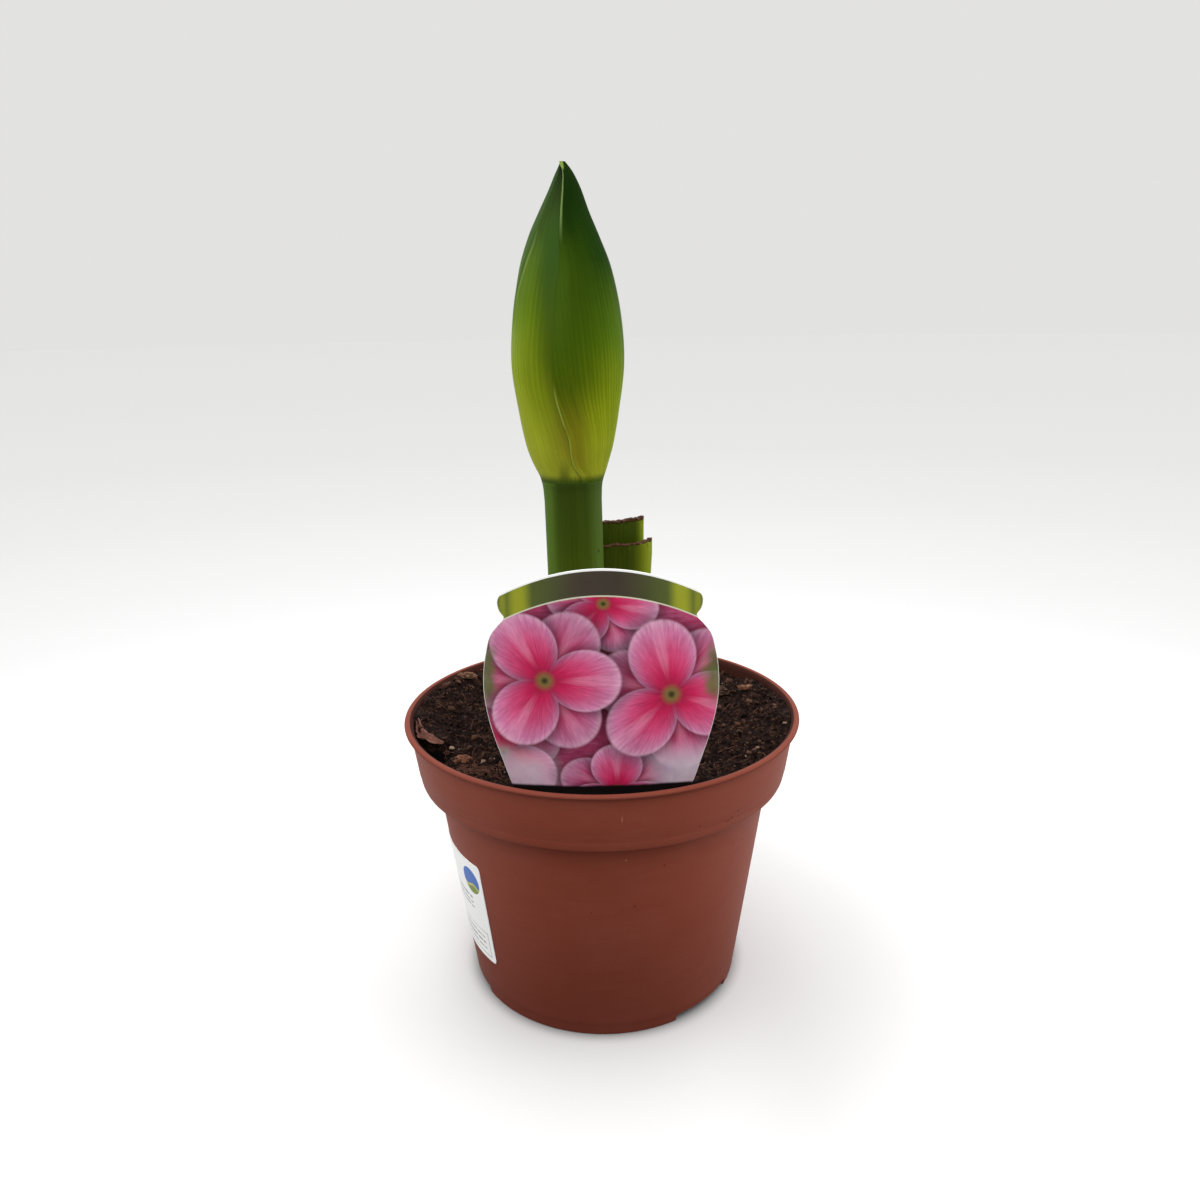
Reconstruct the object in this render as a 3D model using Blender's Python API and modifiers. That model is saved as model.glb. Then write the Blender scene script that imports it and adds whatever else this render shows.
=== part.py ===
"""Potted amaryllis in bud: a forced bulb in a round nursery pot, with a picture label.

Units are metres and +Z is up. The origin is the centre of the pot's foot, on the surface
that the pot stands on. The label's printed face looks towards -Y.

The pot holds soil. The bulb sits in the soil with its roots below and its neck above.
The flower stalk and two cut leaves stand in plain holes in the neck. Two green bracts
stand on the stalk and close over four young flower buds.
"""

import math
import random

import bmesh
import bpy
from mathutils import Vector, noise

# Clearance left between pieces that touch
GAP = 0.0003
MERGE = 0.00001

# Pot
POT_HEIGHT = 0.108
RIM_RADIUS = 0.075
LIP_HEIGHT = 0.003
COLLAR_TOP_RADIUS = 0.0729
COLLAR_CREASE_RADIUS = 0.0706
COLLAR_CREASE_Z = 0.089
COLLAR_FOOT_RADIUS = 0.0698
COLLAR_FOOT_Z = 0.0854
BODY_TOP_RADIUS = 0.0641
FOOT_RADIUS = 0.0523
FOOT_RING_WIDTH = 0.0018
POT_WALL = 0.00125
FLOOR_UNDERSIDE_Z = 0.0038
FLOOR_THICKNESS = 0.0012
POT_STEPS = 60
NOTCH_AZIMUTHS = (-39.0, -159.0, 81.0)
NOTCH_WIDTH = 0.0288
NOTCH_HEIGHT = 0.0031
DRAIN_RADIUS = 0.004
DRAIN_CIRCLE_RADIUS = 0.036
DRAIN_COUNT = 6

# Soil
SOIL_Z = 0.101
SOIL_STEPS = 64
SOIL_RINGS = 12
SOIL_INNER_RING = 0.024

# Bulb
BULB_STEPS = 32
BULB_NECK_CENTRE = (-0.002, -0.001)
BULB_NECK_DEPTH_RATIO = 0.92
BULB_ROUND_BELOW_Z = 0.092
BULB_NECK_ABOVE_Z = 0.112
SCALE_TIPS_ABOVE_Z = 0.112
SCALE_TIPS_OUTSIDE = 0.02
SCALE_RAGGEDNESS = 0.0024
ROOT_COUNT = 8
ROOT_RADIUS = 0.0021
ROOT_TAPER = 0.35
ROOT_REACH = 0.045
ROOT_START_RADIUS = 0.008
ROOT_START_Z = 0.0445
ROOT_END_Z = 0.013

# Flower stalk
STALK_RADIUS = 0.0101
STALK_TOP_RADIUS = 0.0112
STALK_DEPTH_RATIO = 0.9
STALK_TOP = Vector((-0.0092, -0.006, 0.199))
STALK_LENGTH = 0.129
STALK_LEAN = math.radians(-0.95)
STALK_STEPS = 28

# Bracts: height, left edge and right edge of the closed pair, as seen from the front
BRACT_AXIS_Y = -0.006
BRACT_EDGES = (
    (0.1993, -0.0209, 0.0025),
    (0.2041, -0.0232, 0.0040),
    (0.2098, -0.0251, 0.0056),
    (0.2209, -0.0272, 0.0076),
    (0.2372, -0.0292, 0.0096),
    (0.2531, -0.0280, 0.0087),
    (0.2686, -0.0254, 0.0055),
    (0.2787, -0.0220, 0.0016),
    (0.2862, -0.0181, -0.0016),
    (0.2936, -0.0136, -0.0043),
    (0.2984, -0.0114, -0.0067),
    (0.3016, -0.0106, -0.0090),
)
# Height and depth of the pair as a share of its width
BRACT_DEPTH_RATIO = ((0.1993, 0.90), (0.2150, 0.78), (0.2372, 0.72), (0.2787, 0.74), (0.3016, 0.85))
# Height and where the overlapping margin lies, from -1 at the left edge to 1 at the right
FRONT_SEAM = (
    (0.1993, 0.30),
    (0.2038, 0.08),
    (0.2126, 0.00),
    (0.2188, -0.12),
    (0.2302, -0.25),
    (0.2583, -0.19),
    (0.2701, -0.10),
    (0.2854, -0.11),
    (0.2942, -0.15),
    (0.3016, 0.0),
)
BRACT_WALL = 0.0009
BRACT_TUCK_CLEARANCE = 0.0005
BRACT_TUCK = 0.008
BRACT_EASE = 0.006
BRACT_ROWS = 15
BRACT_COLUMNS = 14
LEFT_BRACT_TOP = 0.3003
RIGHT_BRACT_TOP = 0.3016

# Young flower buds inside the bracts
BUD_COUNT = 4
BUD_TOP_Z = 0.266
BUD_RADIUS = 0.0041
BUD_STEM_RADIUS = 0.0019
BUD_SPREAD = (0.0068, 0.0048)
BUD_BASE_RADIUS = 0.0078
BUD_BASE_HEIGHT = 0.002

# Cut leaves: plan curve at the cut, as X and Y
OUTER_LEAF_PLAN = (
    (-0.0145, 0.0092),
    (-0.0080, 0.0064),
    (0.0000, 0.0058),
    (0.0080, 0.0060),
    (0.0143, 0.0070),
    (0.0173, 0.0088),
    (0.0182, 0.0108),
)
INNER_LEAF_PLAN = (
    (-0.0125, 0.0138),
    (-0.0060, 0.0116),
    (0.0020, 0.0108),
    (0.0090, 0.0112),
    (0.0137, 0.0121),
    (0.0160, 0.0134),
)
LEAF_MIDDLE_THICKNESS = 0.0026
LEAF_EDGE_THICKNESS = 0.0013
LEAF_FOOT_Z = 0.092
LEAF_FOOT_SCALE = 0.56
LEAF_NECK_SCALE = 0.62
LEAF_NECK_Z = 0.127
LEAF_COLUMNS = 10
LEAF_ROWS = 6
OUTER_LEAF_TOP = (0.1694, 0.1717)
INNER_LEAF_TOP = (0.1784, 0.1808)
CUT_RAGGEDNESS = 0.0006

# Picture label on its own stake: height and half width of the die-cut outline
LABEL_OUTLINE = (
    (0.0580, 0.0020),
    (0.0640, 0.0070),
    (0.0840, 0.0085),
    (0.0880, 0.0125),
    (0.0910, 0.0215),
    (0.0950, 0.0272),
    (0.1015, 0.0303),
    (0.1100, 0.0332),
    (0.1200, 0.0364),
    (0.1280, 0.0382),
    (0.1350, 0.0389),
    (0.1420, 0.0386),
    (0.1480, 0.0376),
    (0.1537, 0.0360),
    (0.1570, 0.0336),
    (0.1600, 0.0312),
    (0.1622, 0.0326),
    (0.1648, 0.0332),
    (0.1668, 0.0327),
    (0.1685, 0.0312),
)
LABEL_ARCH_HEIGHT = 0.0080
LABEL_ARCH_FROM_Z = 0.150
LABEL_EDGE_Y = -0.051
LABEL_BOW = 0.004
LABEL_LEAN = 0.026
LABEL_THICKNESS = 0.0006
LABEL_COLUMNS = 8

# Blank sticker on the pot's side
STICKER_FROM_AZIMUTH = -137.5
STICKER_WIDTH = 0.066
STICKER_BOTTOM_Z = 0.0195
STICKER_TOP_Z = 0.0630
STICKER_THICKNESS = 0.0003
STICKER_CORNER = 0.0015
STICKER_CLEARANCE = 0.0002

# Loose pieces on the soil: X, Y, length, breadth, height, turn in degrees
FLAKE_CENTRE = (-0.0625, -0.0135)
FLAKE_LENGTH = 0.016
FLAKE_BREADTH = 0.008
FLAKE_THICKNESS = 0.0006
FLAKE_TURN = math.radians(-49.0)
FLAKE_CURL = 0.0024
CHIPS = (
    (-0.0495, -0.0345, 0.0062, 0.0040, 0.0026, 20.0),
    (-0.0560, 0.0370, 0.0080, 0.0042, 0.0028, -15.0),
    (0.0480, 0.0247, 0.0085, 0.0065, 0.0050, 40.0),
    (0.0590, 0.0250, 0.0066, 0.0034, 0.0022, 5.0),
)
HOLLOW_CENTRE = (-0.0585, -0.0285)
HOLLOW_DEPTH = 0.006
HOLLOW_RADIUS = 0.008


def clear_scene():
    """Remove every object of the open scene."""
    for obj in list(bpy.data.objects):
        bpy.data.objects.remove(obj, do_unlink=True)


def new_collection(name, parent=None):
    """Add a collection under another one, or under the scene."""
    collection = bpy.data.collections.new(name)
    (parent or bpy.context.scene.collection).children.link(collection)
    return collection


def new_material(name, colour, roughness):
    """Make a plain material of one colour; nothing on this object is metal."""
    material = bpy.data.materials.new(name)
    material.use_nodes = True
    shader = material.node_tree.nodes["Principled BSDF"]
    shader.inputs["Base Color"].default_value = (*colour, 1.0)
    shader.inputs["Roughness"].default_value = roughness
    shader.inputs["Metallic"].default_value = 0.0
    return material


def new_object(name, mesh, collection):
    """Put a mesh in a collection as an object, shaded smooth."""
    if mesh.polygons:
        mesh.shade_smooth()
        mesh.set_sharp_from_angle(angle=math.radians(40.0))
    obj = bpy.data.objects.new(name, mesh)
    collection.objects.link(obj)
    return obj


def mesh_of(name, work):
    """Turn a bmesh into a mesh and free it."""
    mesh = bpy.data.meshes.new(name)
    work.to_mesh(mesh)
    work.free()
    return mesh


def baked(obj):
    """Swap an object, curve or mesh, for the welded mesh that its modifiers make."""
    bpy.context.view_layer.update()
    evaluated = obj.evaluated_get(bpy.context.evaluated_depsgraph_get())
    mesh = bpy.data.meshes.new_from_object(evaluated)
    work = bmesh.new()
    work.from_mesh(mesh)
    bmesh.ops.remove_doubles(work, verts=work.verts, dist=MERGE)
    work.to_mesh(mesh)
    work.free()
    name = obj.name
    place = obj.matrix_world.copy()
    collection = obj.users_collection[0]
    bpy.data.objects.remove(obj, do_unlink=True)
    solid = new_object(name, mesh, collection)
    solid.name = name
    solid.matrix_world = place
    return solid


def turned(name, profile, steps, collection):
    """Turn an open profile of (radius, height) points about Z."""
    mesh = bpy.data.meshes.new(name)
    points = [(radius, 0.0, height) for radius, height in profile]
    mesh.from_pydata(points, [(i, i + 1) for i in range(len(points) - 1)], [])
    obj = new_object(name, mesh, collection)
    screw = obj.modifiers.new("Turn", "SCREW")
    screw.steps = steps
    screw.render_steps = steps
    screw.use_merge_vertices = True
    screw.merge_threshold = MERGE
    return obj


def cut_with(obj, cutters):
    """Cut a collection of closed shapes out of an object."""
    for cutter in cutters.objects:
        cutter.hide_render = True
        cutter.display_type = "WIRE"
    boolean = obj.modifiers.new("Cut", "BOOLEAN")
    boolean.operation = "DIFFERENCE"
    boolean.operand_type = "COLLECTION"
    boolean.collection = cutters
    boolean.solver = "EXACT"


def fused(obj, others):
    """Join a collection of closed shapes to an object, and remove the shapes."""
    boolean = obj.modifiers.new("Join", "BOOLEAN")
    boolean.operation = "UNION"
    boolean.operand_type = "COLLECTION"
    boolean.collection = others
    boolean.solver = "EXACT"
    solid = baked(obj)
    for other in list(others.objects):
        bpy.data.objects.remove(other, do_unlink=True)
    bpy.data.collections.remove(others)
    return solid


def interpolate(stations, x):
    """Read a smooth curve through stations of (x, value, ...), held level past both ends."""
    if x <= stations[0][0]:
        return stations[0][1:]
    if x >= stations[-1][0]:
        return stations[-1][1:]
    last = len(stations) - 1
    i = max(k for k in range(last) if stations[k][0] <= x)
    span = stations[i + 1][0] - stations[i][0]
    t = (x - stations[i][0]) / span

    def slope(k, column):
        """Slope of one value at a station, from its two neighbours."""
        low, high = stations[max(k - 1, 0)], stations[min(k + 1, last)]
        return (high[column] - low[column]) / (high[0] - low[0])

    values = []
    for column in range(1, len(stations[0])):
        start, end = stations[i][column], stations[i + 1][column]
        rise_start, rise_end = slope(i, column) * span, slope(i + 1, column) * span
        values.append(
            (2 * t**3 - 3 * t**2 + 1) * start
            + (t**3 - 2 * t**2 + t) * rise_start
            + (3 * t**2 - 2 * t**3) * end
            + (t**3 - t**2) * rise_end
        )
    return tuple(values)


def eased(x, low, high):
    """Rise smoothly from 0 at low to 1 at high."""
    t = min(max((x - low) / (high - low), 0.0), 1.0)
    return t * t * (3 - 2 * t)


def arc(centre, radius, start, end, steps):
    """Points along an arc in the profile plane, with its angles in degrees."""
    points = []
    for i in range(steps + 1):
        angle = math.radians(start + (end - start) * i / steps)
        points.append((centre[0] + radius * math.cos(angle), centre[1] + radius * math.sin(angle)))
    return points


def sheet(name, rows, columns, point, collection, thickness):
    """Shape a flat grid by a formula of its two shares from 0 to 1, and give it a thickness."""
    work = bmesh.new()
    bmesh.ops.create_grid(work, x_segments=columns, y_segments=rows, size=1.0)
    for vertex in work.verts:
        vertex.co = point((vertex.co.x + 1) / 2, (vertex.co.y + 1) / 2)
    obj = new_object(name, mesh_of(name, work), collection)
    solidify = obj.modifiers.new("Thickness", "SOLIDIFY")
    solidify.thickness = thickness
    solidify.offset = 0.0
    solidify.use_even_offset = True
    return obj


def shell(name, rows, columns, outer, inner, collection):
    """Loft a closed shell between two surfaces, each given as a formula of row and column.

    The outer surface's columns run anticlockwise, seen from above.
    """
    work = bmesh.new()
    skins = []
    for surface in (outer, inner):
        skin = []
        for row in range(rows + 1):
            skin.append([work.verts.new(surface(row, column)) for column in range(columns + 1)])
        skins.append(skin)
    out, within = skins
    for row in range(rows):
        for column in range(columns):
            near = (out[row][column], out[row][column + 1], out[row + 1][column + 1], out[row + 1][column])
            work.faces.new(near)
            far = (within[row][column], within[row + 1][column], within[row + 1][column + 1], within[row][column + 1])
            work.faces.new(far)
        for column, flip in ((0, False), (columns, True)):
            side = [out[row][column], out[row + 1][column], within[row + 1][column], within[row][column]]
            work.faces.new(side[::-1] if flip else side)
    for row, flip in ((0, True), (rows, False)):
        for column in range(columns):
            edge = [out[row][column], out[row][column + 1], within[row][column + 1], within[row][column]]
            work.faces.new(edge[::-1] if flip else edge)
    bmesh.ops.recalc_face_normals(work, faces=work.faces)
    return new_object(name, mesh_of(name, work), collection)


def body_radius(z):
    """Outer radius of the pot's body at a height below the collar."""
    return FOOT_RADIUS + (BODY_TOP_RADIUS - FOOT_RADIUS) * z / COLLAR_FOOT_Z


def collar_radius(z):
    """Outer radius of the pot's collar at a height above its crease."""
    share = (z - COLLAR_CREASE_Z) / (POT_HEIGHT - LIP_HEIGHT - COLLAR_CREASE_Z)
    return COLLAR_CREASE_RADIUS + (COLLAR_TOP_RADIUS - COLLAR_CREASE_RADIUS) * share


def pot_inside():
    """The pot's inner face as (radius, height), from the floor's centre up to the collar's top."""
    floor = FLOOR_UNDERSIDE_Z + FLOOR_THICKNESS
    shelf = COLLAR_FOOT_Z + 0.0008
    return [
        (0.0, floor),
        (body_radius(floor) - POT_WALL - 0.0036, floor),
        (body_radius(floor) - POT_WALL - 0.0010, floor + 0.0010),
        (body_radius(floor + 0.0036) - POT_WALL, floor + 0.0036),
        (body_radius(shelf) - POT_WALL, shelf),
        (COLLAR_FOOT_RADIUS - POT_WALL - 0.0008, shelf + 0.0006),
        (COLLAR_CREASE_RADIUS - POT_WALL, COLLAR_CREASE_Z),
        (COLLAR_TOP_RADIUS - POT_WALL, POT_HEIGHT - LIP_HEIGHT),
    ]


def make_pot(parts, cutters):
    """The pot: a thin turned wall with a stepped collar, a rolled lip and a foot ring."""
    lip_bottom = POT_HEIGHT - LIP_HEIGHT
    inner_round = 0.0009
    outer_round = LIP_HEIGHT / 2
    inner_edge = COLLAR_TOP_RADIUS - POT_WALL + inner_round
    profile = pot_inside()
    profile += arc((inner_edge, POT_HEIGHT - inner_round), inner_round, 180, 90, 3)
    profile += arc((RIM_RADIUS - outer_round, POT_HEIGHT - outer_round), outer_round, 90, -90, 6)
    profile += [
        (COLLAR_TOP_RADIUS, lip_bottom - 0.0005),
        (COLLAR_CREASE_RADIUS, COLLAR_CREASE_Z),
        (COLLAR_FOOT_RADIUS, COLLAR_FOOT_Z + 0.0003),
        (COLLAR_FOOT_RADIUS - 0.0006, COLLAR_FOOT_Z - 0.0003),
        (BODY_TOP_RADIUS + 0.0004, COLLAR_FOOT_Z - 0.0005),
        (BODY_TOP_RADIUS - 0.0001, COLLAR_FOOT_Z - 0.0012),
        (body_radius(0.0010), 0.0010),
        (FOOT_RADIUS - 0.0005, 0.0),
        (FOOT_RADIUS - 0.0005 - FOOT_RING_WIDTH, 0.0),
        (FOOT_RADIUS - 0.0007 - FOOT_RING_WIDTH, FLOOR_UNDERSIDE_Z - 0.0005),
        (FOOT_RADIUS - 0.0013 - FOOT_RING_WIDTH, FLOOR_UNDERSIDE_Z),
        (0.0, FLOOR_UNDERSIDE_Z),
    ]
    pot = turned("pot", profile, POT_STEPS, parts)
    for number, azimuth in enumerate(NOTCH_AZIMUTHS):
        cube = bmesh.new()
        bmesh.ops.create_cube(cube, size=1.0)
        bmesh.ops.scale(cube, vec=(0.0065, NOTCH_WIDTH, 2 * NOTCH_HEIGHT), verts=cube.verts)
        notch = new_object(f"foot_notch_{number + 1}", mesh_of("foot_notch", cube), cutters)
        angle = math.radians(azimuth)
        reach = FOOT_RADIUS - 0.0015
        notch.location = (reach * math.cos(angle), reach * math.sin(angle), 0.0)
        notch.rotation_euler = (0.0, 0.0, angle)
    for number in range(DRAIN_COUNT + 1):
        hole = bmesh.new()
        bmesh.ops.create_cone(
            hole, cap_ends=True, segments=10, radius1=DRAIN_RADIUS, radius2=DRAIN_RADIUS, depth=0.02
        )
        drain = new_object(f"drain_{number + 1}", mesh_of("drain", hole), cutters)
        if number < DRAIN_COUNT:
            angle = math.tau * (number + 0.5) / DRAIN_COUNT
            drain.location = (DRAIN_CIRCLE_RADIUS * math.cos(angle), DRAIN_CIRCLE_RADIUS * math.sin(angle), 0.0)
    cut_with(pot, cutters)
    return pot


def soil_height(x, y):
    """Height of the crumbly soil at a place, level under each loose piece that lies on it."""
    spot = Vector((x, y, 0.0))
    rise = (
        0.0018 * noise.noise(spot / 0.021)
        + 0.0016 * noise.noise(spot / 0.0095 + Vector((3.1, 0.0, 0.0)))
        + 0.0009 * noise.noise(spot / 0.0052 + Vector((0.0, 7.7, 0.0)))
    )
    away = math.hypot(x - HOLLOW_CENTRE[0], y - HOLLOW_CENTRE[1])
    rise -= HOLLOW_DEPTH * math.exp(-((away / HOLLOW_RADIUS) ** 2))
    for seat in seats():
        near = 1 - eased(math.hypot(x - seat[0], y - seat[1]), seat[2], seat[2] + 0.003)
        rise += (seat[3] - rise) * near
    return SOIL_Z + rise


def seats():
    """Level places in the soil as (X, Y, radius, rise), one under each loose piece."""
    places = [(FLAKE_CENTRE[0], FLAKE_CENTRE[1], 0.008, 0.0008)]
    places += [(chip[0], chip[1], 0.0045, 0.0006) for chip in CHIPS]
    return places


def make_soil(parts, cutters):
    """The soil: it fills the pot to just under the rim, and its top is crumbly."""
    inside = pot_inside()
    edge = collar_radius(SOIL_Z) - POT_WALL - GAP
    profile = [(0.0, SOIL_Z)]
    for ring in range(SOIL_RINGS):
        profile.append((SOIL_INNER_RING + (edge - SOIL_INNER_RING) * ring / (SOIL_RINGS - 1), SOIL_Z))
    for radius, height in reversed(inside[1:-1]):
        lift = GAP if radius < COLLAR_CREASE_RADIUS - POT_WALL else 0.0
        profile.append((radius - GAP, height + lift))
    profile.append((0.0, inside[0][1] + GAP))
    soil = baked(turned("soil", profile, SOIL_STEPS, parts))
    for vertex in soil.data.vertices:
        if vertex.co.z < SOIL_Z - GAP:
            continue
        vertex.co.z = soil_height(vertex.co.x, vertex.co.y)
        wall = collar_radius(vertex.co.z) - POT_WALL - GAP
        radius = math.hypot(vertex.co.x, vertex.co.y)
        if radius > wall:
            vertex.co.x *= wall / radius
            vertex.co.y *= wall / radius
    cut_with(soil, cutters)
    return soil


def bulb_profile(clearance):
    """Half outline of the bulb as (radius, height), down from the hollow inside its neck."""
    outline = [
        (0.0, 0.1212),
        (0.0196, 0.1216),
        (0.0206, 0.1248),
        (0.0213, 0.1262),
        (0.0219, 0.1242),
        (0.0223, 0.1206),
        (0.0234, 0.1210),
        (0.0240, 0.1200),
        (0.0245, 0.1170),
        (0.0250, 0.1132),
        (0.0261, 0.1126),
        (0.0275, 0.1080),
        (0.0318, 0.1000),
        (0.0358, 0.0910),
        (0.0379, 0.0810),
        (0.0375, 0.0730),
        (0.0348, 0.0630),
        (0.0285, 0.0540),
        (0.0195, 0.0478),
        (0.0146, 0.0450),
        (0.0140, 0.0424),
        (0.0105, 0.0414),
        (0.0, 0.0412),
    ]
    plate_z = 0.0430
    widened = []
    for radius, height in outline:
        widened.append((radius + (clearance if radius else 0.0), height - (clearance if height < plate_z else 0.0)))
    return widened


def bulb_body(name, clearance, collection):
    """The bulb without its roots: round below, with an oval neck of ragged dry scales."""
    body = baked(turned(name, bulb_profile(clearance), BULB_STEPS, collection))
    for vertex in body.data.vertices:
        place = vertex.co
        radius = math.hypot(place.x, place.y)
        if place.z > SCALE_TIPS_ABOVE_Z and radius > SCALE_TIPS_OUTSIDE:
            angle = math.atan2(place.y, place.x)
            around = Vector((math.cos(angle), math.sin(angle), 12.0 * radius / RIM_RADIUS))
            place.z += SCALE_RAGGEDNESS * noise.noise(around * 4.0)
        neck = eased(place.z, BULB_ROUND_BELOW_Z, BULB_NECK_ABOVE_Z)
        place.x += BULB_NECK_CENTRE[0] * neck
        place.y = place.y * (1 + (BULB_NECK_DEPTH_RATIO - 1) * neck) + BULB_NECK_CENTRE[1] * neck
    return body


def bulb_with_roots(name, clearance, collection, scratch):
    """The bulb and its roots as one piece, grown by a clearance on all sides."""
    draw = random.Random(11)
    body = bulb_body(name, clearance, collection)
    roots = new_collection(f"{name} roots", scratch)
    points = 6
    for number in range(ROOT_COUNT):
        heading = math.tau * (number + draw.uniform(0.2, 0.8)) / ROOT_COUNT
        swing = draw.uniform(-0.5, 0.5)
        reach = ROOT_REACH * draw.uniform(0.82, 1.0)
        drop = draw.uniform(0.0, 0.008)
        curve = bpy.data.curves.new(f"root_{number + 1}", "CURVE")
        curve.dimensions = "3D"
        curve.bevel_depth = ROOT_RADIUS + clearance
        curve.bevel_resolution = 1
        curve.use_fill_caps = True
        places = []
        for i in range(points):
            share = i / (points - 1)
            radius = ROOT_START_RADIUS + (reach - ROOT_START_RADIUS) * share**0.8
            angle = heading + swing * share
            height = ROOT_START_Z + (ROOT_END_Z + drop - ROOT_START_Z) * share**1.3
            places.append(Vector((radius * math.cos(angle), radius * math.sin(angle), height)))
        if clearance:
            places.append(places[-1] + (places[-1] - places[-2]).normalized() * 2 * clearance)
        spline = curve.splines.new("POLY")
        spline.points.add(len(places) - 1)
        for i, (point, place) in enumerate(zip(spline.points, places)):
            point.co = (*place, 1.0)
            point.radius = 1.0 - ROOT_TAPER * min(i / (points - 1), 1.0)
        root = bpy.data.objects.new(curve.name, curve)
        roots.objects.link(root)
        baked(root)
    return fused(body, roots)


def stalk_profile(clearance):
    """Half outline of the flower stalk, down from the middle of its top."""
    top = clearance if clearance else 0.0
    return [
        (0.0, top),
        (STALK_TOP_RADIUS - 0.0006 + clearance, top),
        (STALK_TOP_RADIUS + clearance, -0.0005),
        (0.0106 + clearance, -0.0025),
        (0.0103 + clearance, -0.0050),
        (STALK_RADIUS + clearance, -0.0090),
        (STALK_RADIUS + clearance, -0.0350),
        (STALK_RADIUS + clearance, -STALK_LENGTH - clearance),
        (0.0, -STALK_LENGTH - clearance),
    ]


def place_stalk(obj):
    """Stand a turned stalk shape under the bracts, with its slight lean and flattened section."""
    obj.location = STALK_TOP
    obj.rotation_euler = (0.0, STALK_LEAN, 0.0)
    obj.scale = (1.0, STALK_DEPTH_RATIO, 1.0)


def leaf_shell(name, plan, tops, collection, clearance=0.0, rise=0.0):
    """A cut leaf: a shallow channel that narrows into the bulb's neck, with a ragged cut."""
    middle = (0.0015, plan[len(plan) // 2][1])
    stations = [(i / (len(plan) - 1), x, y) for i, (x, y) in enumerate(plan)]

    def centre(share, z):
        """Middle of the leaf's thickness at a share of its width and a height."""
        x, y = interpolate(stations, share)
        scale = interpolate(
            ((LEAF_FOOT_Z, LEAF_FOOT_SCALE), (LEAF_NECK_Z, LEAF_NECK_SCALE), (0.155, 0.95), (0.166, 1.0)), z
        )[0]
        return Vector((middle[0] + (x - middle[0]) * scale, middle[1] + (y - middle[1]) * scale, z))

    def height(row, share):
        """Height of a row; the last row is the cut, sloped and ragged."""
        top = tops[0] + (tops[1] - tops[0]) * share
        top += rise + CUT_RAGGEDNESS * noise.noise(Vector((share * 9.0, plan[0][1] * 900.0, 0.0)))
        foot = LEAF_FOOT_Z - clearance
        return foot + (top - foot) * row / LEAF_ROWS

    def skin(side):
        """One face of the leaf, half a thickness from its middle."""

        def point(row, column):
            """A point of this face."""
            share = column / LEAF_COLUMNS
            z = height(row, share)
            ahead = centre(min(share + 0.02, 1.0), z)
            behind = centre(max(share - 0.02, 0.0), z)
            along = (ahead - behind).normalized()
            across = Vector((along.y, -along.x, 0.0))
            span = math.sqrt(max(1 - (2 * share - 1) ** 2, 0.0))
            half = (LEAF_EDGE_THICKNESS + (LEAF_MIDDLE_THICKNESS - LEAF_EDGE_THICKNESS) * span) / 2
            spill = clearance * (1 if share == 1.0 else -1 if share == 0.0 else 0)
            return centre(share, z) + across * side * (half + clearance) + along * spill

        return point

    return shell(name, LEAF_ROWS, LEAF_COLUMNS, skin(1), skin(-1), collection)


def make_bulb(parts, cutters, scratch):
    """The bulb with its roots, and plain holes in its neck for the stalk and the leaves."""
    bulb = bulb_with_roots("bulb", 0.0, parts, scratch)
    place_stalk(turned("stalk_hole", stalk_profile(GAP), STALK_STEPS, cutters))
    leaf_shell("outer_leaf_hole", OUTER_LEAF_PLAN, OUTER_LEAF_TOP, cutters, GAP, 0.003)
    leaf_shell("inner_leaf_hole", INNER_LEAF_PLAN, INNER_LEAF_TOP, cutters, GAP, 0.003)
    cut_with(bulb, cutters)
    return bulb


def bract_section(z):
    """Centre, half width and half depth of the closed bracts at a height."""
    left, right = interpolate(BRACT_EDGES, z)
    half = (right - left) / 2
    return (left + right) / 2, half, half * interpolate(BRACT_DEPTH_RATIO, z)[0]


def seam_angles(z):
    """Where the right bract's two margins lie at a height, in front and behind."""
    share = interpolate(FRONT_SEAM, z)[0]
    front = -math.acos(max(min(share, 1.0), -1.0))
    back = math.acos(max(min(0.7 * share, 1.0), -1.0))
    return front, back


def bract_point(angle, z, inset):
    """A point of the bracts' outer face, moved in by an inset."""
    centre, half, depth = bract_section(z)
    outside = Vector((half * math.cos(angle), depth * math.sin(angle), 0.0))
    reach = outside.length
    share = max(1 - inset / reach, 0.3 + 0.2 / (1 + inset / BRACT_WALL))
    return Vector((centre, BRACT_AXIS_Y, z)) + outside * share


def row_height(row, rows, top):
    """Height of a row of a bract, with rows closer together near the tip."""
    foot = BRACT_EDGES[0][0]
    share = row / rows
    return foot + (top - foot) * (1.35 * share - 0.35 * share * share)


def make_right_bract(parts):
    """The right bract: it lies over the left one at both seams."""

    def angle(row, column):
        """Angle of a column, spread evenly from the front margin to the back one."""
        front, back = seam_angles(row_height(row, BRACT_ROWS, RIGHT_BRACT_TOP))
        return front + (back - front) * column / BRACT_COLUMNS

    def outer(row, column):
        """A point of the green outer face."""
        return bract_point(angle(row, column), row_height(row, BRACT_ROWS, RIGHT_BRACT_TOP), 0.0)

    def inner(row, column):
        """A point of the inner face."""
        return bract_point(angle(row, column), row_height(row, BRACT_ROWS, RIGHT_BRACT_TOP), BRACT_WALL)

    return shell("bract_right", BRACT_ROWS, BRACT_COLUMNS, outer, inner, parts)


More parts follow.
